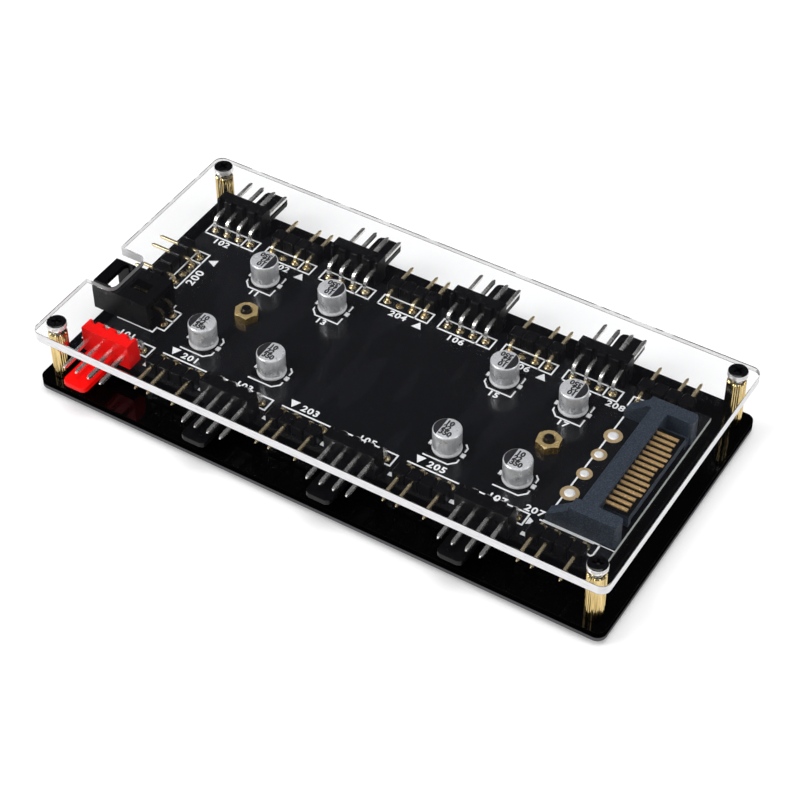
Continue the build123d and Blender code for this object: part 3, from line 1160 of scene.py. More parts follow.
@dataclass
class Board:
    """The circuit board's mask, its solder joints, plated holes and white print."""

    finishes: Finishes
    line: float = 0.3
    pad: float = 0.82
    cone: float = 0.46
    digit: float = 1.85
    digit_widening: float = 1.15
    digit_gap: float = 1.12
    digit_weight: float = 0.05
    lift: float = 0.002
    hole_x: float = 38.1
    holes: Tuple[Point2, ...] = ((-7.5, 1.62), (-2.5, 1.36), (2.5, 1.36), (7.5, 1.62))
    fan_box: Point2 = (-5.2, 5.3)
    fan_rows: Point2 = (14.85, 17.5)
    fan_label_x: float = -0.85
    fan_label_y: Point2 = (-14.65, 13.75)
    dash: Point2 = (1.1, 0.8)
    dash_x: float = 6.55
    dash_y: float = -19.0
    light_box: float = 5.1
    light_rows: Point2 = (14.9, 17.5)
    light_label_x: float = -0.25
    light_label_y: float = 13.85
    last_label_x: float = 35.15
    light_line: Point2 = (-5.0, 4.5)
    light_line_y: float = -15.05
    outline_reach: float = 2.85
    outline_cut: float = 1.1

    def __post_init__(self) -> None:
        """Starts with no marks."""
        self.marks: List[Piece] = []

    def build(self) -> None:
        """Dresses the board and adds what is printed and soldered on it."""
        wear(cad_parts["circuit_board"], self.finishes.mask)
        self.joints()
        self.plated_holes()
        self.fan_marks()
        self.light_marks()
        self.input_marks()
        self.socket_marks()
        self.can_marks()
        marks = join(self.marks, "board_print")
        set_down(marks, marks.name, self.finishes.ink)

    def joints(self) -> None:
        """Solders every pin: a ring of copper and a cone that climbs the pin."""
        foot = [(0, 0.001), (self.pad, 0.001), (self.pad - 0.02, 0.05), (0.74, 0.07), (0.56, 0.24)]
        joint = lathe("joint", foot + [(0.44, self.cone), (0, self.cone)], 20)
        low = lathe("low_joint", [(r, z * 0.75) for r, z in foot] + [(0.25, 0.36), (0, 0.4)], 20)
        smooth(joint, 50)
        smooth(low, 50)
        copies: List[Piece] = []
        for places, ways, blank in (
            (row_places(FAN_X).values(), WAYS, None),
            (list(row_places(LIGHT_X).values()) + [LIGHT_INPUT], WAYS, 1),
            ([SIGNAL_INPUT], [-PITCH / 2, PITCH / 2], None),
        ):
            for place in places:
                for count, x in enumerate(ways):
                    model = low if count == blank else joint
                    copies.append(laid(model, place @ Matrix.Translation((x, 0, 0))))
        throw_away(joint, low)
        set_down(join(copies, "solder_joints"), "solder_joints", self.finishes.solder)

    def plated_holes(self) -> None:
        """Four plated holes beside the socket, filled with solder."""
        rings, fills = [], []
        for y, radius in self.holes:
            place = (self.hole_x, y, LEVELS.board_top)
            profile = [(0.6, 0.001), (radius, 0.001), (radius - 0.03, 0.05), (0.6, 0.06)]
            rings.append(shift(lathe("ring", profile, 40, closed=True), place))
            inner = radius * 0.58
            profile = [(0, 0.02), (inner, 0.03), (inner - 0.08, 0.12), (0.5, 0.2), (0.25, 0.17), (0, 0.15)]
            fills.append(shift(lathe("fill", profile, 32), place))
        ring_set, fill_set = join(rings, "plated_rings"), join(fills, "plated_fills")
        smooth(ring_set)
        smooth(fill_set, 60)
        set_down(ring_set, "plated_rings", self.finishes.copper)
        set_down(fill_set, "plated_fills", self.finishes.bright)

    def stroke(self, *points: Point2) -> None:
        """Prints a line through points."""
        self.fill(ribbon(points, self.line))

    def fill(self, outline: Sequence[Point2]) -> None:
        """Prints a filled outline."""
        top = LEVELS.board_top
        self.marks.append(prism("mark", outline, Axis.Z, top + self.lift, top + LEVELS.ink_height))

    def number(self, text: str, x: float, y: float, turn: float = 0.0, size: float = 0.0) -> None:
        """Prints a plain number.

        Args:
            text: The number.
            x: Its middle along the board.
            y: Its middle across the board.
            turn: How far it is turned, in degrees.
            size: Its type size, where it isn't the usual one.
        """
        height = LEVELS.ink_height
        mark = figures(text, size or self.digit, self.digit_weight, height, gap=self.digit_gap)
        mark.scale = (self.digit_widening, 1, 1)
        bpy.ops.object.transform_apply(location=True, rotation=True, scale=True)
        level = LEVELS.board_top + height / 2 + self.lift
        self.marks.append(shift(mark, (x, y, level), math.radians(turn)))

    def box(self, left: float, low: float, right: float, high: float) -> None:
        """Prints a rectangle."""
        self.stroke((left, low), (right, low), (right, high), (left, high), (left, low))

    def dash_at(self, x: float, y: float) -> None:
        """Prints a short, wide dash."""
        half, low, high = self.dash[0] / 2, y - self.dash[1] / 2, y + self.dash[1] / 2
        self.fill([(x - half, low), (x + half, low), (x + half, high), (x - half, high)])

    def fan_marks(self) -> None:
        """Prints a box and a number at each fan port, and dashes beside the front ones."""
        left, right = self.fan_box
        for group, x in enumerate(FAN_X):
            for row, side in enumerate((-1, 1)):
                low, high = sorted(side * edge for edge in self.fan_rows)
                self.box(x + left, low, x + right, high)
                self.stroke((x + PITCH, low), (x + PITCH, high))
                number = 101 + 2 * group + row
                self.number(str(number), x + self.fan_label_x, self.fan_label_y[row])
                self.dash_at(x + side * self.dash_x, self.dash_y)

    def light_marks(self) -> None:
        """Prints a box or a line, a number and an arrow at each light port."""
        half, (low, high) = self.light_box, self.light_rows
        for group, x in enumerate(LIGHT_X):
            last = group == len(LIGHT_X) - 1
            text_x = self.last_label_x if last else x + self.light_label_x
            for row, side in enumerate((-1, 1)):
                self.number(str(201 + 2 * group + row), text_x, side * self.light_label_y)
            self.box(x - half, low, x + half, high)
            self.stroke((x + PITCH, low), (x + PITCH, high))
            self.stroke(*((x + end, self.light_line_y) for end in self.light_line))
            if not last:
                self.fill([(x + 3.1, 12.9), (x + 5.0, 12.9), (x + 4.05, 14.5)])
                self.fill([(x - 4.55, -12.95), (x - 2.75, -12.9), (x - 3.6, -14.55)])
        self.fill([(35.2, -15.4), (35.2, -17.0), (36.7, -16.2)])

    def input_marks(self) -> None:
        """Prints the boxes round the two inputs at the left."""
        self.box(-47.5, -0.4, -45.1, 9.95)
        self.stroke((-47.5, 7.26), (-45.1, 7.26))
        self.fill([(-44.45, 8.59), (-42.87, 9.56), (-42.71, 7.8)])
        self.number("200", -43.75, 3.6, 90, 2.2)
        corner = [(-41.9, -11.78), (-41.9, -10.5), (-40.3, -10.5)]
        self.stroke((-49.3, -11.78), *corner, (-40.3, -5.35))
        self.stroke((-42.2, -7.9), (-40.3, -7.9))
        self.stroke((-42.4, -5.35), (-40.3, -5.35))
        self.stroke((-42.4, -5.35), (-42.4, -4.2))

    def socket_marks(self) -> None:
        """Prints the socket's outline and the line through the plated holes."""
        self.stroke((37.5, -14.0), (37.5, 18.1), (38.4, 18.3))
        self.stroke((37.4, -14.85), (47.5, -14.85))
        self.stroke((47.5, -14.85), (47.5, -17.2), (47.2, -17.6), (46.7, -17.5))
        self.fill(ribbon([(47.5, -14.85), (50.0, -14.85)], self.line / 2))

    def can_marks(self) -> None:
        """Prints each capacitor's outline, ticks and number."""
        reach, cut = self.outline_reach, self.outline_cut
        for count, x in enumerate(CAN_X):
            left, right = x - reach, x + reach
            y, front = CAN_Y, CAN_Y - reach
            corner = [(left, front + cut), (left + cut, front)]
            self.stroke((left, y - 1.2), *corner, (right, front), (right, y - 1.3))
            self.stroke((right, y + 1.0), (right, y + 2.2), (right - 0.5, y + 2.4))
            self.number(str(11 + 2 * count), x, front - 0.95, 0, 1.7)
            y, front = -CAN_Y, -CAN_Y - reach
            corner = [(right - cut, front), (right, front + cut)]
            self.stroke((left, front), *corner, (right, y - 1.1))
            self.stroke((right, y + 1.1), (right, y + 1.9), (right - 0.6, y + 2.5))


# Ports


def bent_pin(
    name: str, reach: float, height: float, bend: float, size: float = 0.64, stub: float = 2.6
) -> Piece:
    """A square pin that rises from the board, bends and runs out along +Y.

    Args:
        name: Its name.
        reach: How far its tip is from its foot.
        height: Its axis above the board.
        bend: The radius inside its bend.
        size: Its thickness.
        stub: How far it goes down below the board's top.

    Returns:
        The pin.
    """
    half, steps = size / 2, 5
    turns = [math.pi / 2 * step / steps for step in range(steps + 1)]
    inner, outer = (
        [(half + bend - radius * math.cos(t), height - half - bend + radius * math.sin(t)) for t in turns]
        for radius in (bend, bend + size)
    )
    foot = [(-half, -stub), (half, -stub)]
    outline = [(reach, height + half), *reversed(outer), *foot, *inner, (reach, height - half)]
    pin = prism(name, outline, Axis.X, -half, half)
    with editing(pin):
        bpy.ops.mesh.bisect(plane_co=(0, reach - 0.55, 0), plane_no=(0, 1, 0))
        pick(pin, Part.FACE, lambda face: face.calc_center_median().y > reach - 0.01)
        bpy.ops.transform.resize(value=(0.42, 1, 0.42), center_override=(0, reach, height))
    soften(pin, 0.05, 1)
    return pin


@dataclass
class FanPorts:
    """Eight four-pin fan headers, the first of them red."""

    finishes: Finishes
    width: float = 9.8
    height: float = 5.2
    rear: float = 1.9
    depth: float = 3.2
    lean: float = 0.5
    slot_width: float = 1.1
    slot_depth: float = 1.0
    tab: Tuple[float, float] = (-1.3, 3.5)
    tab_reach: float = 13.2
    tab_thickness: float = 1.0
    tab_corner: float = 0.9
    pin_height: float = 2.65
    pin_reach: float = 11.9
    pin_bend: float = 1.0

    def housing(self) -> Piece:
        """The ribbed block with its friction tab.

        Returns:
            The housing, with its pads at the origin.
        """
        half, front = self.width / 2, self.rear + self.depth
        outline = [(self.rear, 0), (front, 0), (front, self.height), (self.rear + self.lean, self.height)]
        shell = prism("fan_housing", outline, Axis.X, -half, half)
        with editing(shell):
            edge_y, edge_z = self.rear + self.lean + 0.1, self.height - 0.1
            pick(
                shell,
                Part.EDGE,
                lambda e: runs(e, Axis.X) and middle(e).z > edge_z and middle(e).y < edge_y,
            )
            bpy.ops.mesh.bevel(offset=0.3, segments=3, affect="EDGES")
        wide, floor = self.slot_width / 2, self.rear + self.slot_depth
        top, clear = floor + self.lean / 2, self.height + 1
        slot = [(0, -1), (floor, -1), (floor, 0), (top, self.height), (top, clear), (0, clear)]
        for x in WAYS:
            trim(shell, prism("slot", slot, Axis.X, x - wide, x + wide))
        left, right, cut = *self.tab, self.tab_corner
        near, end, ease = front - 0.2, self.tab_reach, 0.3 * cut
        right_corner = [(right, end - cut), (right - ease, end - ease), (right - cut, end)]
        left_corner = [(left + cut, end), (left + ease, end - ease), (left, end - cut)]
        outline = [(left, near), (right, near), *right_corner, *left_corner]
        tab = prism("fan_tab", outline, Axis.Z, 0, self.tab_thickness)
        trim(shell, tab, "UNION")
        soften(shell, 0.09)
        return shell

    def build(self) -> None:
        """Copies the housing and its pins to the eight places."""
        shell = self.housing()
        pin = bent_pin("fan_pin", self.pin_reach, self.pin_height, self.pin_bend)
        pins = row_of(pin, [(x, 0, 0) for x in WAYS], "fan_pins")
        for number, place in row_places(FAN_X).items():
            finish, slot = self.finishes.nylon, Slot.BLACK_NYLON
            if number == 1:
                finish, slot = self.finishes.red, Slot.RED_NYLON
            node = f"fan_header_{number}"
            set_down(copy_of(shell), f"fan_housing_{number}", finish, [node], place)
            finish, node = self.finishes.tin, f"fan_pins_{number}"
            set_down(copy_of(pins), f"fan_pin_row_{number}", finish, [node], place)
        throw_away(shell, pins)


@dataclass
class LightPorts:
    """Nine light headers: strips of four blocks with one place left blank."""

    finishes: Finishes
    rear: float = 1.45
    depth: float = 2.5
    height: float = 2.54
    notch: float = 0.32
    pin_height: float = 1.3
    pin_reach: float = 8.6
    pin_bend: float = 0.4
    pin_size: float = 0.52

    def strip(self) -> Piece:
        """Four moulded blocks in a row.

        Returns:
            The strip, with its pads at the origin.
        """
        half = PITCH / 2
        cell = block("cell", (-half, self.rear, 0), (half, self.rear + self.depth, self.height))
        with editing(cell):
            pick(
                cell,
                Part.EDGE,
                lambda e: abs(middle(e).x) > half - 0.1
                and (runs(e, Axis.Z) or (runs(e, Axis.Y) and middle(e).z > 1)),
            )
            bpy.ops.mesh.bevel(offset=self.notch, segments=1, affect="EDGES")
        soften(cell, 0.05, 1)
        return row_of(cell, [(x, 0, 0) for x in WAYS], "light_strip")

    def build(self) -> None:
        """Copies the strip and its pins to the nine places."""
        strip = self.strip()
        pin = bent_pin("light_pin", self.pin_reach, self.pin_height, self.pin_bend, self.pin_size)
        pins = row_of(pin, [(WAYS[way], 0, 0) for way in (0, 2, 3)], "light_pins")
        places = {str(number): place for number, place in row_places(LIGHT_X).items()}
        places["input"] = LIGHT_INPUT
        for key, place in places.items():
            finish, node = self.finishes.nylon, f"light_header_{key}"
            set_down(copy_of(strip), f"light_strip_{key}", finish, [node], place)
            finish, node = self.finishes.gold, f"light_pins_{key}"
            set_down(copy_of(pins), f"light_pin_row_{key}", finish, [node], place)
        throw_away(strip, pins)


@dataclass
class SignalInput:
    """The shrouded two-pin input, with a tall hood at its mouth."""

    finishes: Finishes
    width: float = 8.0
    rear: float = 1.2
    reach: float = 12.95
    height: float = 5.4
    wall: float = 0.9
    hood: float = 3.6
    hood_height: float = 6.8
    hood_bar: float = 2.2
    hood_cut: float = 0.7
    cavity: float = 9.6
    window: float = 2.6
    window_corner: float = 1.0
    slot_setback: float = 2.1
    slot_length: float = 3.5
    slot_width: float = 2.5
    recess_width: float = 5.6
    recess_depth: float = 1.2
    recess_height: float = 4.2
    pin_height: float = 2.9
    pin_reach: float = 10.35
    pin_bend: float = 0.6

    def build(self) -> None:
        """Models the housing and its pins, and sets them down."""
        half, back = self.width / 2, self.reach - self.hood
        outline = [
            (self.rear, 0),
            (self.reach, 0),
            (self.reach, self.hood_height),
            (back, self.hood_height),
            (back, self.height),
            (self.rear, self.height),
        ]
        shell = prism("signal_shell", outline, Axis.X, -half, half)
        with editing(shell):
            pick(shell, Part.EDGE, lambda e: runs(e, Axis.Y) and middle(e).z > self.hood_height - 0.1)
            bpy.ops.mesh.bevel(offset=self.hood_cut, segments=1, affect="EDGES")
        inner, start = half - self.wall, self.reach - self.cavity
        mouth = [
            (start, self.wall),
            (self.reach + 1, self.wall),
            (self.reach + 1, self.hood_height - self.wall),
            (back + self.wall, self.hood_height - self.wall),
            (back + self.wall, self.height - self.wall),
            (start, self.height - self.wall),
        ]
        trim(shell, prism("mouth", mouth, Axis.X, -inner, inner))
        end = self.reach - self.hood_bar
        window = block("window", (-inner, end - self.window, self.height - 1.5), (inner, end, 9))
        with editing(window):
            pick(window, Part.EDGE, lambda e: runs(e, Axis.Z) and middle(e).y > end - 0.1)
            bpy.ops.mesh.bevel(offset=self.window_corner, segments=5, affect="EDGES")
        trim(shell, window)
        wide, near = self.slot_width / 2, self.rear + self.slot_setback
        trim(shell, block("slot", (-wide, near, self.height - 1.2), (wide, near + self.slot_length, 9)))
        wide, depth = self.recess_width / 2, self.rear + self.recess_depth
        trim(shell, block("recess", (-wide, 0, -1), (wide, depth, self.recess_height)))
        soften(shell, 0.1)
        finish, place = self.finishes.nylon, SIGNAL_INPUT
        set_down(shell, "signal_shroud", finish, ["signal_header"], place)
        pin = bent_pin("signal_pin", self.pin_reach, self.pin_height, self.pin_bend)
        pins = row_of(pin, [(side * PITCH / 2, 0, 0) for side in (-1, 1)], "signal_pins")
        finish = self.finishes.shaded_pin
        set_down(pins, "signal_pin_pair", finish, ["signal_pins"], place)


@dataclass
class PowerSocket:
    """The blue-grey socket at the board's right edge, with fifteen gold contacts."""

    finishes: Finishes
    width: float = 29.2
    height: float = 5.0
    bar_back: float = 42.4
    bar_front: float = 45.35
    right: float = 50.0
    arm: float = 2.6
    lug: float = 1.0
    arm_corner: float = 0.8
    ear_length: float = 4.0
    ear_high: float = 4.4
    ear_low: float = 1.2
    ear_width: float = 2.2
    tongue_width: float = 20.2
    tongue_thickness: float = 1.5
    tongue_top: float = 3.4
    tongue_tip: float = 49.8
    key_width: float = 1.0
    key_drop: float = 0.9
    ways: int = 15
    pitch: float = 1.27
    contact_width: float = 0.66
    groove: float = 0.4
    ledge: float = 1.3
    ledge_height: float = 1.7
    contact_thickness: float = 0.2
    contact_tip: float = 49.05
    contact_leg: float = 43.8
    contact_extra: float = 0.5

    def shell(self) -> Piece:
        """The housing, standing on the board's top.

        Returns:
            The housing.
        """
        half, back = self.width / 2, self.bar_back - self.lug
        shell = block("power_shell", (self.bar_back, -half, 0), (self.bar_front, half, self.height))
        for side in (-1, 1):
            low, high = sorted((side * half, side * (half - self.arm)))
            arm = block("arm", (back, low, 0), (self.right, high, self.height))
            with editing(arm):
                pick(arm, Part.EDGE, lambda e: runs(e, Axis.Z) and middle(e).x > self.right - 0.1)
                bpy.ops.mesh.bevel(offset=self.arm_corner, segments=4, affect="EDGES")
            trim(shell, arm, "UNION")
            low, high = sorted((side * half, side * (half - self.ear_width)))
            root, end = back + 0.3, back - self.ear_length
            slope = [(root, self.ear_high), (back, self.ear_high), (end, self.ear_low)]
            trim(shell, prism("ear", [(root, 0), *slope, (end, 0)], Axis.Y, low, high), "UNION")
        edge = self.tongue_width / 2
        base = self.tongue_top - self.tongue_thickness
        key_low, key_side = base - self.key_drop, -edge + self.key_width
        key = [(-edge, key_low), (key_side, key_low), (key_side, base)]
        tongue = [*key, (edge, base), (edge, self.tongue_top), (-edge, self.tongue_top)]
        trim(shell, prism("tongue", tongue, Axis.X, self.bar_front - 0.3, self.tongue_tip), "UNION")
        for way in range(self.ways):
            y, wide = (way - (self.ways - 1) / 2) * self.pitch, self.contact_width / 2 + 0.12
            near = (self.contact_leg - 0.4, y - wide, self.tongue_top - self.groove)
            trim(shell, block("slit", near, (self.contact_tip + 0.1, y + wide, self.height - 0.5)))
        inner, root, end = half - self.arm, self.bar_front - 0.2, self.right - 0.5
        low, high = inner - self.ledge, inner + 0.2
        ledge = [(root, high), (root, low), (end, low), (end, high)]
        trim(shell, prism("ledge", ledge, Axis.Z, 0, self.ledge_height), "UNION")
        soften(shell, 0.09)
        # Painted shade: the tongue's top between the contacts wears the black nylon, for the shade that it
        # lies in.
        wear(shell, self.finishes.slate, self.finishes.nylon)
        for face in shell.data.polygons:
            x, y, z = face.center
            on_shaded_tongue = self.bar_front < x < self.tongue_tip - 0.05 and abs(y) < edge - 0.1
            if on_shaded_tongue and z < self.tongue_top + 0.05 and face.normal.z > -0.5:
                face.material_index = 1
        return shell

    def contact(self, extra: float) -> Piece:
        """One contact, lying on the tongue and turning down to the board.

        Args:
            extra: How much further its tip reaches.

        Returns:
            The contact.
        """
        low, top = self.tongue_top - self.groove, self.tongue_top + self.contact_thickness
        tip, outer = self.contact_tip + extra, self.contact_leg
        inner = outer + self.contact_thickness
        leg = [(outer, top), (outer, 0), (inner, 0), (inner, low)]
        outline = [(tip, low), (tip, top - 0.12), (tip - 0.12, top), *leg]
        half = self.contact_width / 2
        strip = prism("contact", outline, Axis.Y, -half, half)
        with editing(strip):
            pick(strip, Part.EDGE, lambda e: runs(e, Axis.X) and middle(e).z > top - 0.01)
            bpy.ops.mesh.bevel(offset=0.2, segments=3, affect="EDGES")
        soften(strip, 0.05, 1)
        return strip

    def build(self) -> None:
        """Models the housing and its contacts, and sets them down."""
        level = Matrix.Translation((0, 0, LEVELS.board_top))
        finish, slot = self.finishes.slate, Slot.BLUE_GREY_NYLON
        set_down(self.shell(), "power_shell", finish, ["power_socket"], level)
        models = {extra: self.contact(extra) for extra in (0.0, self.contact_extra)}
        copies = []
        for way in range(self.ways):
            extra = self.contact_extra if way // 3 % 2 else 0.0
            y = (way - (self.ways - 1) / 2) * self.pitch
            copies.append(shift(copy_of(models[extra]), (0, y, 0)))
        throw_away(*models.values())
        row, finish = join(copies, "contact_row"), self.finishes.contact
        set_down(row, row.name, finish, ["power_contacts"], level)


@dataclass
class Capacitors:
    """Eight bare cans on black feet, with a printed half-moon on each top."""

    finishes: Finishes
    radius: float = 2.5
    foot: float = 5.3
    foot_height: float = 0.5
    foot_cut: float = 1.1
    height: float = 4.5
    print_edge: float = 1.0
    figure_rows: Tuple[Tuple[str, float], ...] = (("10", -1.15), ("22", 0.0), ("350", 1.15))
    figure_size: float = 1.45
    figure_weight: float = 0.07
    figure_height: float = 0.016

    def can(self) -> Piece:
        """One can, spun from a profile with a beaded foot, its top split for the print.

        Returns:
            The can, with its foot's underside at the origin.
        """
        low, high, r = self.foot_height, self.foot_height + self.height, self.radius
        profile = [
            (0, low),
            (r - 0.2, low),
            (r + 0.04, low + 0.05),
            (r + 0.08, low + 0.2),
            (r + 0.02, low + 0.42),
            (r - 0.14, low + 0.66),
            (r - 0.16, low + 0.82),
            (r - 0.08, low + 0.96),
            (r - 0.02, low + 1.1),
            (r - 0.01, high - 0.34),
            (r - 0.06, high - 0.16),
            (r - 0.2, high - 0.04),
            (r - 0.36, high),
            (0, high),
        ]
        can = lathe("can", profile, 64)
        with editing(can):
            pick(
                can,
                Part.FACE,
                lambda face: face.normal.z > 0.9 and face.calc_center_median().z > high - 0.05,
            )
            bpy.ops.mesh.bisect(plane_co=(self.print_edge, 0, 0), plane_no=(1, 0, 0))
        wear(can, self.finishes.can, self.finishes.can_ink, self.finishes.bright)
        # Painted highlight: the band round the beaded foot wears the bright solder white, for the light that
        # its bead catches; the top's half-moon is print.
        for face in can.data.polygons:
            on_top = face.normal.z > 0.9 and face.center.z > high - 0.05
            if on_top and face.center.x > self.print_edge:
                face.material_index = 1
            elif low + 0.02 < face.center.z < low + 0.6:
                face.material_index = 2
        smooth(can, 50)
        return can

    def numbers(self, top: float) -> Piece:
        """The plain figures printed on a can's top.

        Args:
            top: The top's height.

        Returns:
            The figures.
        """
        marks = []
        start, level = self.print_edge - 0.15, top + self.figure_height / 2 + 0.001
        for text, y in self.figure_rows:
            mark = figures(text, self.figure_size, self.figure_weight, self.figure_height, "LEFT")
            marks.append(shift(mark, (start, y, level), math.pi))
        return join(marks, "figures")

    def build(self) -> None:
        """Copies the can, its foot, leads and figures to the eight places."""
        can = self.can()
        numbers = self.numbers(self.foot_height + self.height)
        half, cut = self.foot / 2, self.foot_cut
        near_corner = [(-half, -half + cut), (-half + cut, -half)]
        far_corner = [(-half + cut, half), (-half, half - cut)]
        outline = [*near_corner, (half, -half), (half, half), *far_corner]
        foot = prism("foot", outline, Axis.Z, 0, self.foot_height)
        soften(foot, 0.08)
        lead = block("lead", (half - 0.6, -0.45, 0.01), (half + 0.75, 0.45, 0.24))
        with editing(lead):
            pick(
                lead,
                Part.EDGE,
                lambda e: runs(e, Axis.Y) and middle(e).z > 0.1 and middle(e).x > half,
            )
            bpy.ops.mesh.bevel(offset=0.12, segments=2, affect="EDGES")
        soften(lead, 0.03, 1)
        leads = join([lead, shift(copy_of(lead), (0, 0, 0), math.pi)], "leads")
        copies: Dict[Piece, List[Piece]] = {foot: [], leads: [], numbers: []}
        count = 0
        for x in CAN_X:
            for row in (-1, 1):
                count += 1
                place = on_board(x, row * CAN_Y, 180 if row < 0 else 0)
                node = f"capacitor_can_{count}"
                set_down(copy_of(can), f"can_{count}", self.finishes.can, [node], place)
                for model, laid_copies in copies.items():
                    laid_copies.append(laid(model, place))
        feet, lead_set, figure_set = (join(pieces, pieces[0].name) for pieces in copies.values())
        throw_away(can, foot, leads, numbers)
        set_down(feet, "can_feet", self.finishes.nylon, ["capacitor_bases"])
        set_down(lead_set, "can_leads", self.finishes.bright)
        set_down(figure_set, "can_figures", self.finishes.can_ink)


# Studio


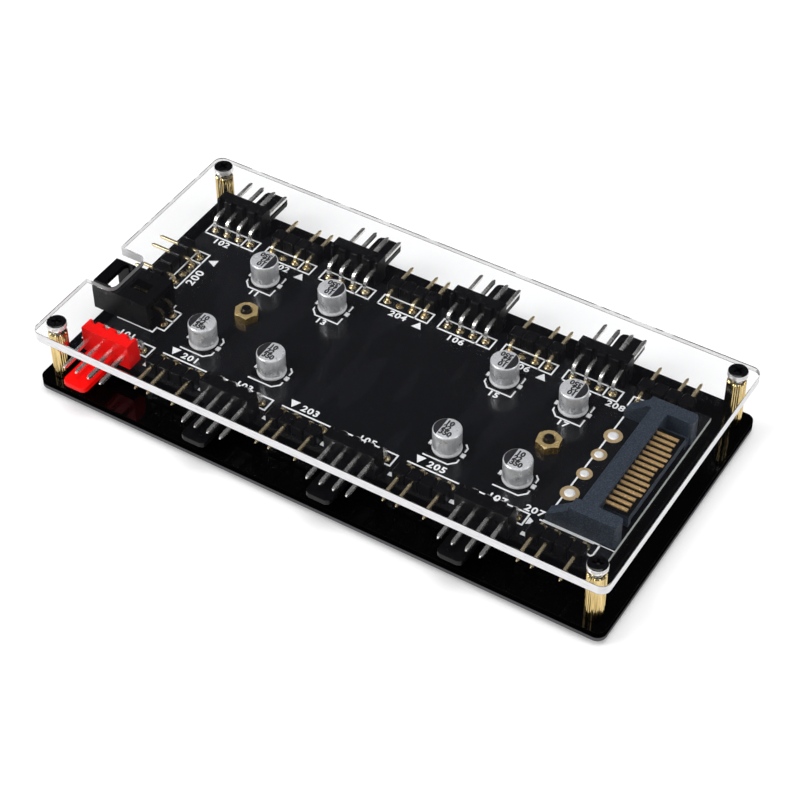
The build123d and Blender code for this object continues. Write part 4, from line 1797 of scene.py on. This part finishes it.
@dataclass
class Studio:
    """The floor, the soft lights, the white surround and the camera."""

    azimuth: float = 32.291
    elevation: float = 43.925
    roll: float = -0.626
    aim: Point3 = (0.0, 0.0, 9.1)
    distance: float = 366.853
    focal: float = 2170.548
    offset: Point2 = (-7.014, -28.696)
    image: int = 800
    sensor: float = 36.0
    floor_size: float = 12.0
    paper: Colour = (0.82, 0.82, 0.82)
    glow: float = 0.2
    room: Colour = (0.35, 0.35, 0.364)
    dim: Colour = (0.035, 0.035, 0.04)

    def camera(self) -> None:
        """Sets the camera where the photograph was taken from."""
        a, e, r = (math.radians(angle) for angle in (self.azimuth, self.elevation, self.roll))
        back = Vector((math.sin(a) * math.cos(e), -math.cos(a) * math.cos(e), math.sin(e)))
        level = Vector((math.cos(a), math.sin(a), 0))
        rise = back.cross(level)
        right = level * math.cos(r) + rise * math.sin(r)
        up = rise * math.cos(r) - level * math.sin(r)
        data = bpy.data.cameras.new("camera")
        data.sensor_width = self.sensor
        data.lens = self.focal * self.sensor / self.image
        data.shift_x = -self.offset[0] / self.image
        data.shift_y = self.offset[1] / self.image
        data.clip_start, data.clip_end = 0.01, 20
        camera = bpy.data.objects.new("camera", data)
        bpy.context.scene.collection.objects.link(camera)
        turn = Matrix((right, up, back)).transposed().to_4x4()
        camera.matrix_world = Matrix.Translation((Vector(self.aim) + back * self.distance) * MM) @ turn
        bpy.context.scene.camera = camera

    def lamp(self, name: str, place: Point3, size: float, power: float) -> Piece:
        """A square soft light that faces the hub.

        Args:
            name: Its name.
            place: Its place in metres.
            size: Its side in metres.
            power: Its power in watts.

        Returns:
            The lamp.
        """
        data = bpy.data.lights.new(name, "AREA")
        data.size = size
        data.energy = power
        lamp = bpy.data.objects.new(name, data)
        bpy.context.scene.collection.objects.link(lamp)
        lamp.location = place
        lamp.rotation_euler = Vector(place).to_track_quat("Z", "Y").to_euler()
        return lamp

    def keep_off(self, lamp: Piece, piece_name: str) -> None:
        """Keeps a lamp off one piece, which would mirror it as a veil."""
        spared = bpy.data.collections.new(f"{lamp.name}_spares")
        spared.objects.link(bpy.data.objects[piece_name])
        spared.collection_objects[0].light_linking.link_state = "EXCLUDE"
        lamp.light_linking.receiver_collection = spared

    def floor(self) -> None:
        """Lays the pale floor, white to the camera but for the hub's shadow."""
        bpy.ops.object.select_all(action="DESELECT")
        bpy.ops.mesh.primitive_plane_add(size=self.floor_size, location=(0, 0, -0.1 * MM))
        floor = bpy.context.active_object
        floor.name = "studio_floor"
        bpy.ops.object.transform_apply(location=True, rotation=True, scale=True)
        material = bpy.data.materials.new("studio_floor")
        material.use_nodes = True
        tree = material.node_tree
        tree.nodes.clear()
        output = tree.nodes.new("ShaderNodeOutputMaterial")
        paper = tree.nodes.new("ShaderNodeBsdfDiffuse")
        paper.inputs["Color"].default_value = (*self.paper, 1)
        glow = tree.nodes.new("ShaderNodeEmission")
        glow.inputs["Strength"].default_value = self.glow
        both = tree.nodes.new("ShaderNodeAddShader")
        choice = tree.nodes.new("ShaderNodeMixShader")
        tree.links.new(self.seen(tree), choice.inputs["Fac"])
        tree.links.new(paper.outputs[0], both.inputs[0])
        tree.links.new(glow.outputs[0], both.inputs[1])
        tree.links.new(paper.outputs[0], choice.inputs[1])
        tree.links.new(both.outputs[0], choice.inputs[2])
        tree.links.new(choice.outputs[0], output.inputs["Surface"])
        wear(floor, material)

    def seen(self, tree: bpy.types.NodeTree) -> bpy.types.NodeSocket:
        """Whether a ray comes from the camera, or by way of a shiny or clear surface.

        Args:
            tree: The node tree that asks.

        Returns:
            1 for any of these kinds of ray, or else 0.
        """
        path = tree.nodes.new("ShaderNodeLightPath")
        found = path.outputs["Is Camera Ray"]
        for kind in ("Is Glossy Ray", "Is Transmission Ray"):
            either = tree.nodes.new("ShaderNodeMath")
            either.operation = "MAXIMUM"
            tree.links.new(found, either.inputs[0])
            tree.links.new(path.outputs[kind], either.inputs[1])
            found = either.outputs[0]
        return found

    def background(self, tree: bpy.types.NodeTree, colour: Colour) -> bpy.types.NodeSocket:
        """A plain background of one colour."""
        node = tree.nodes.new("ShaderNodeBackground")
        node.inputs["Color"].default_value = (*colour, 1)
        return node.outputs[0]

    def surround(self) -> None:
        """White to the camera, dim to shiny and clear surfaces, and a soft grey room to the rest."""
        world = bpy.data.worlds.new("studio")
        bpy.context.scene.world = world
        world.use_nodes = True
        tree = world.node_tree
        tree.nodes.clear()
        output = tree.nodes.new("ShaderNodeOutputWorld")
        white, room, dim = (
            self.background(tree, colour) for colour in ((1, 1, 1), self.room, self.dim)
        )
        path = tree.nodes.new("ShaderNodeLightPath")
        direct = tree.nodes.new("ShaderNodeMixShader")
        choice = tree.nodes.new("ShaderNodeMixShader")
        tree.links.new(path.outputs["Is Camera Ray"], direct.inputs["Fac"])
        tree.links.new(dim, direct.inputs[1])
        tree.links.new(white, direct.inputs[2])
        tree.links.new(self.seen(tree), choice.inputs["Fac"])
        tree.links.new(room, choice.inputs[1])
        tree.links.new(direct.outputs[0], choice.inputs[2])
        tree.links.new(choice.outputs[0], output.inputs["Surface"])

    def build(self) -> None:
        """Builds the studio."""
        scene = bpy.context.scene
        scene.view_settings.view_transform = "Standard"
        self.camera()
        self.floor()
        self.surround()
        overhead = self.lamp("overhead", place=(0.1, -0.1, 0.9), size=0.7, power=5.0)
        self.keep_off(overhead, "cover_sheet")
        self.lamp("key", place=(-0.5, -0.5, 0.6), size=0.45, power=3.6)
        fill = self.lamp("side", place=(0.7, 0.1, 0.4), size=0.35, power=1.1)
        fill.visible_glossy = False


def dress_hidden(finishes: Finishes) -> None:
    """Gives the spacers under the board their finish."""
    wear(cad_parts["board_spacers"], finishes.brass)


def main() -> None:
    """Builds the hub's pieces in order, and the studio round it."""
    logging.basicConfig(level=logging.INFO, format="%(name)s %(message)s")
    finishes = Finishes()
    plates = Plates(finishes)
    plates.build()
    Fasteners(finishes).build(plates.corners(), plates.board_screw_x)
    Board(finishes).build()
    FanPorts(finishes).build()
    LightPorts(finishes).build()
    SignalInput(finishes).build()
    PowerSocket(finishes).build()
    Capacitors(finishes).build()
    dress_hidden(finishes)
    Studio().build()


if __name__ == "__main__":
    main()
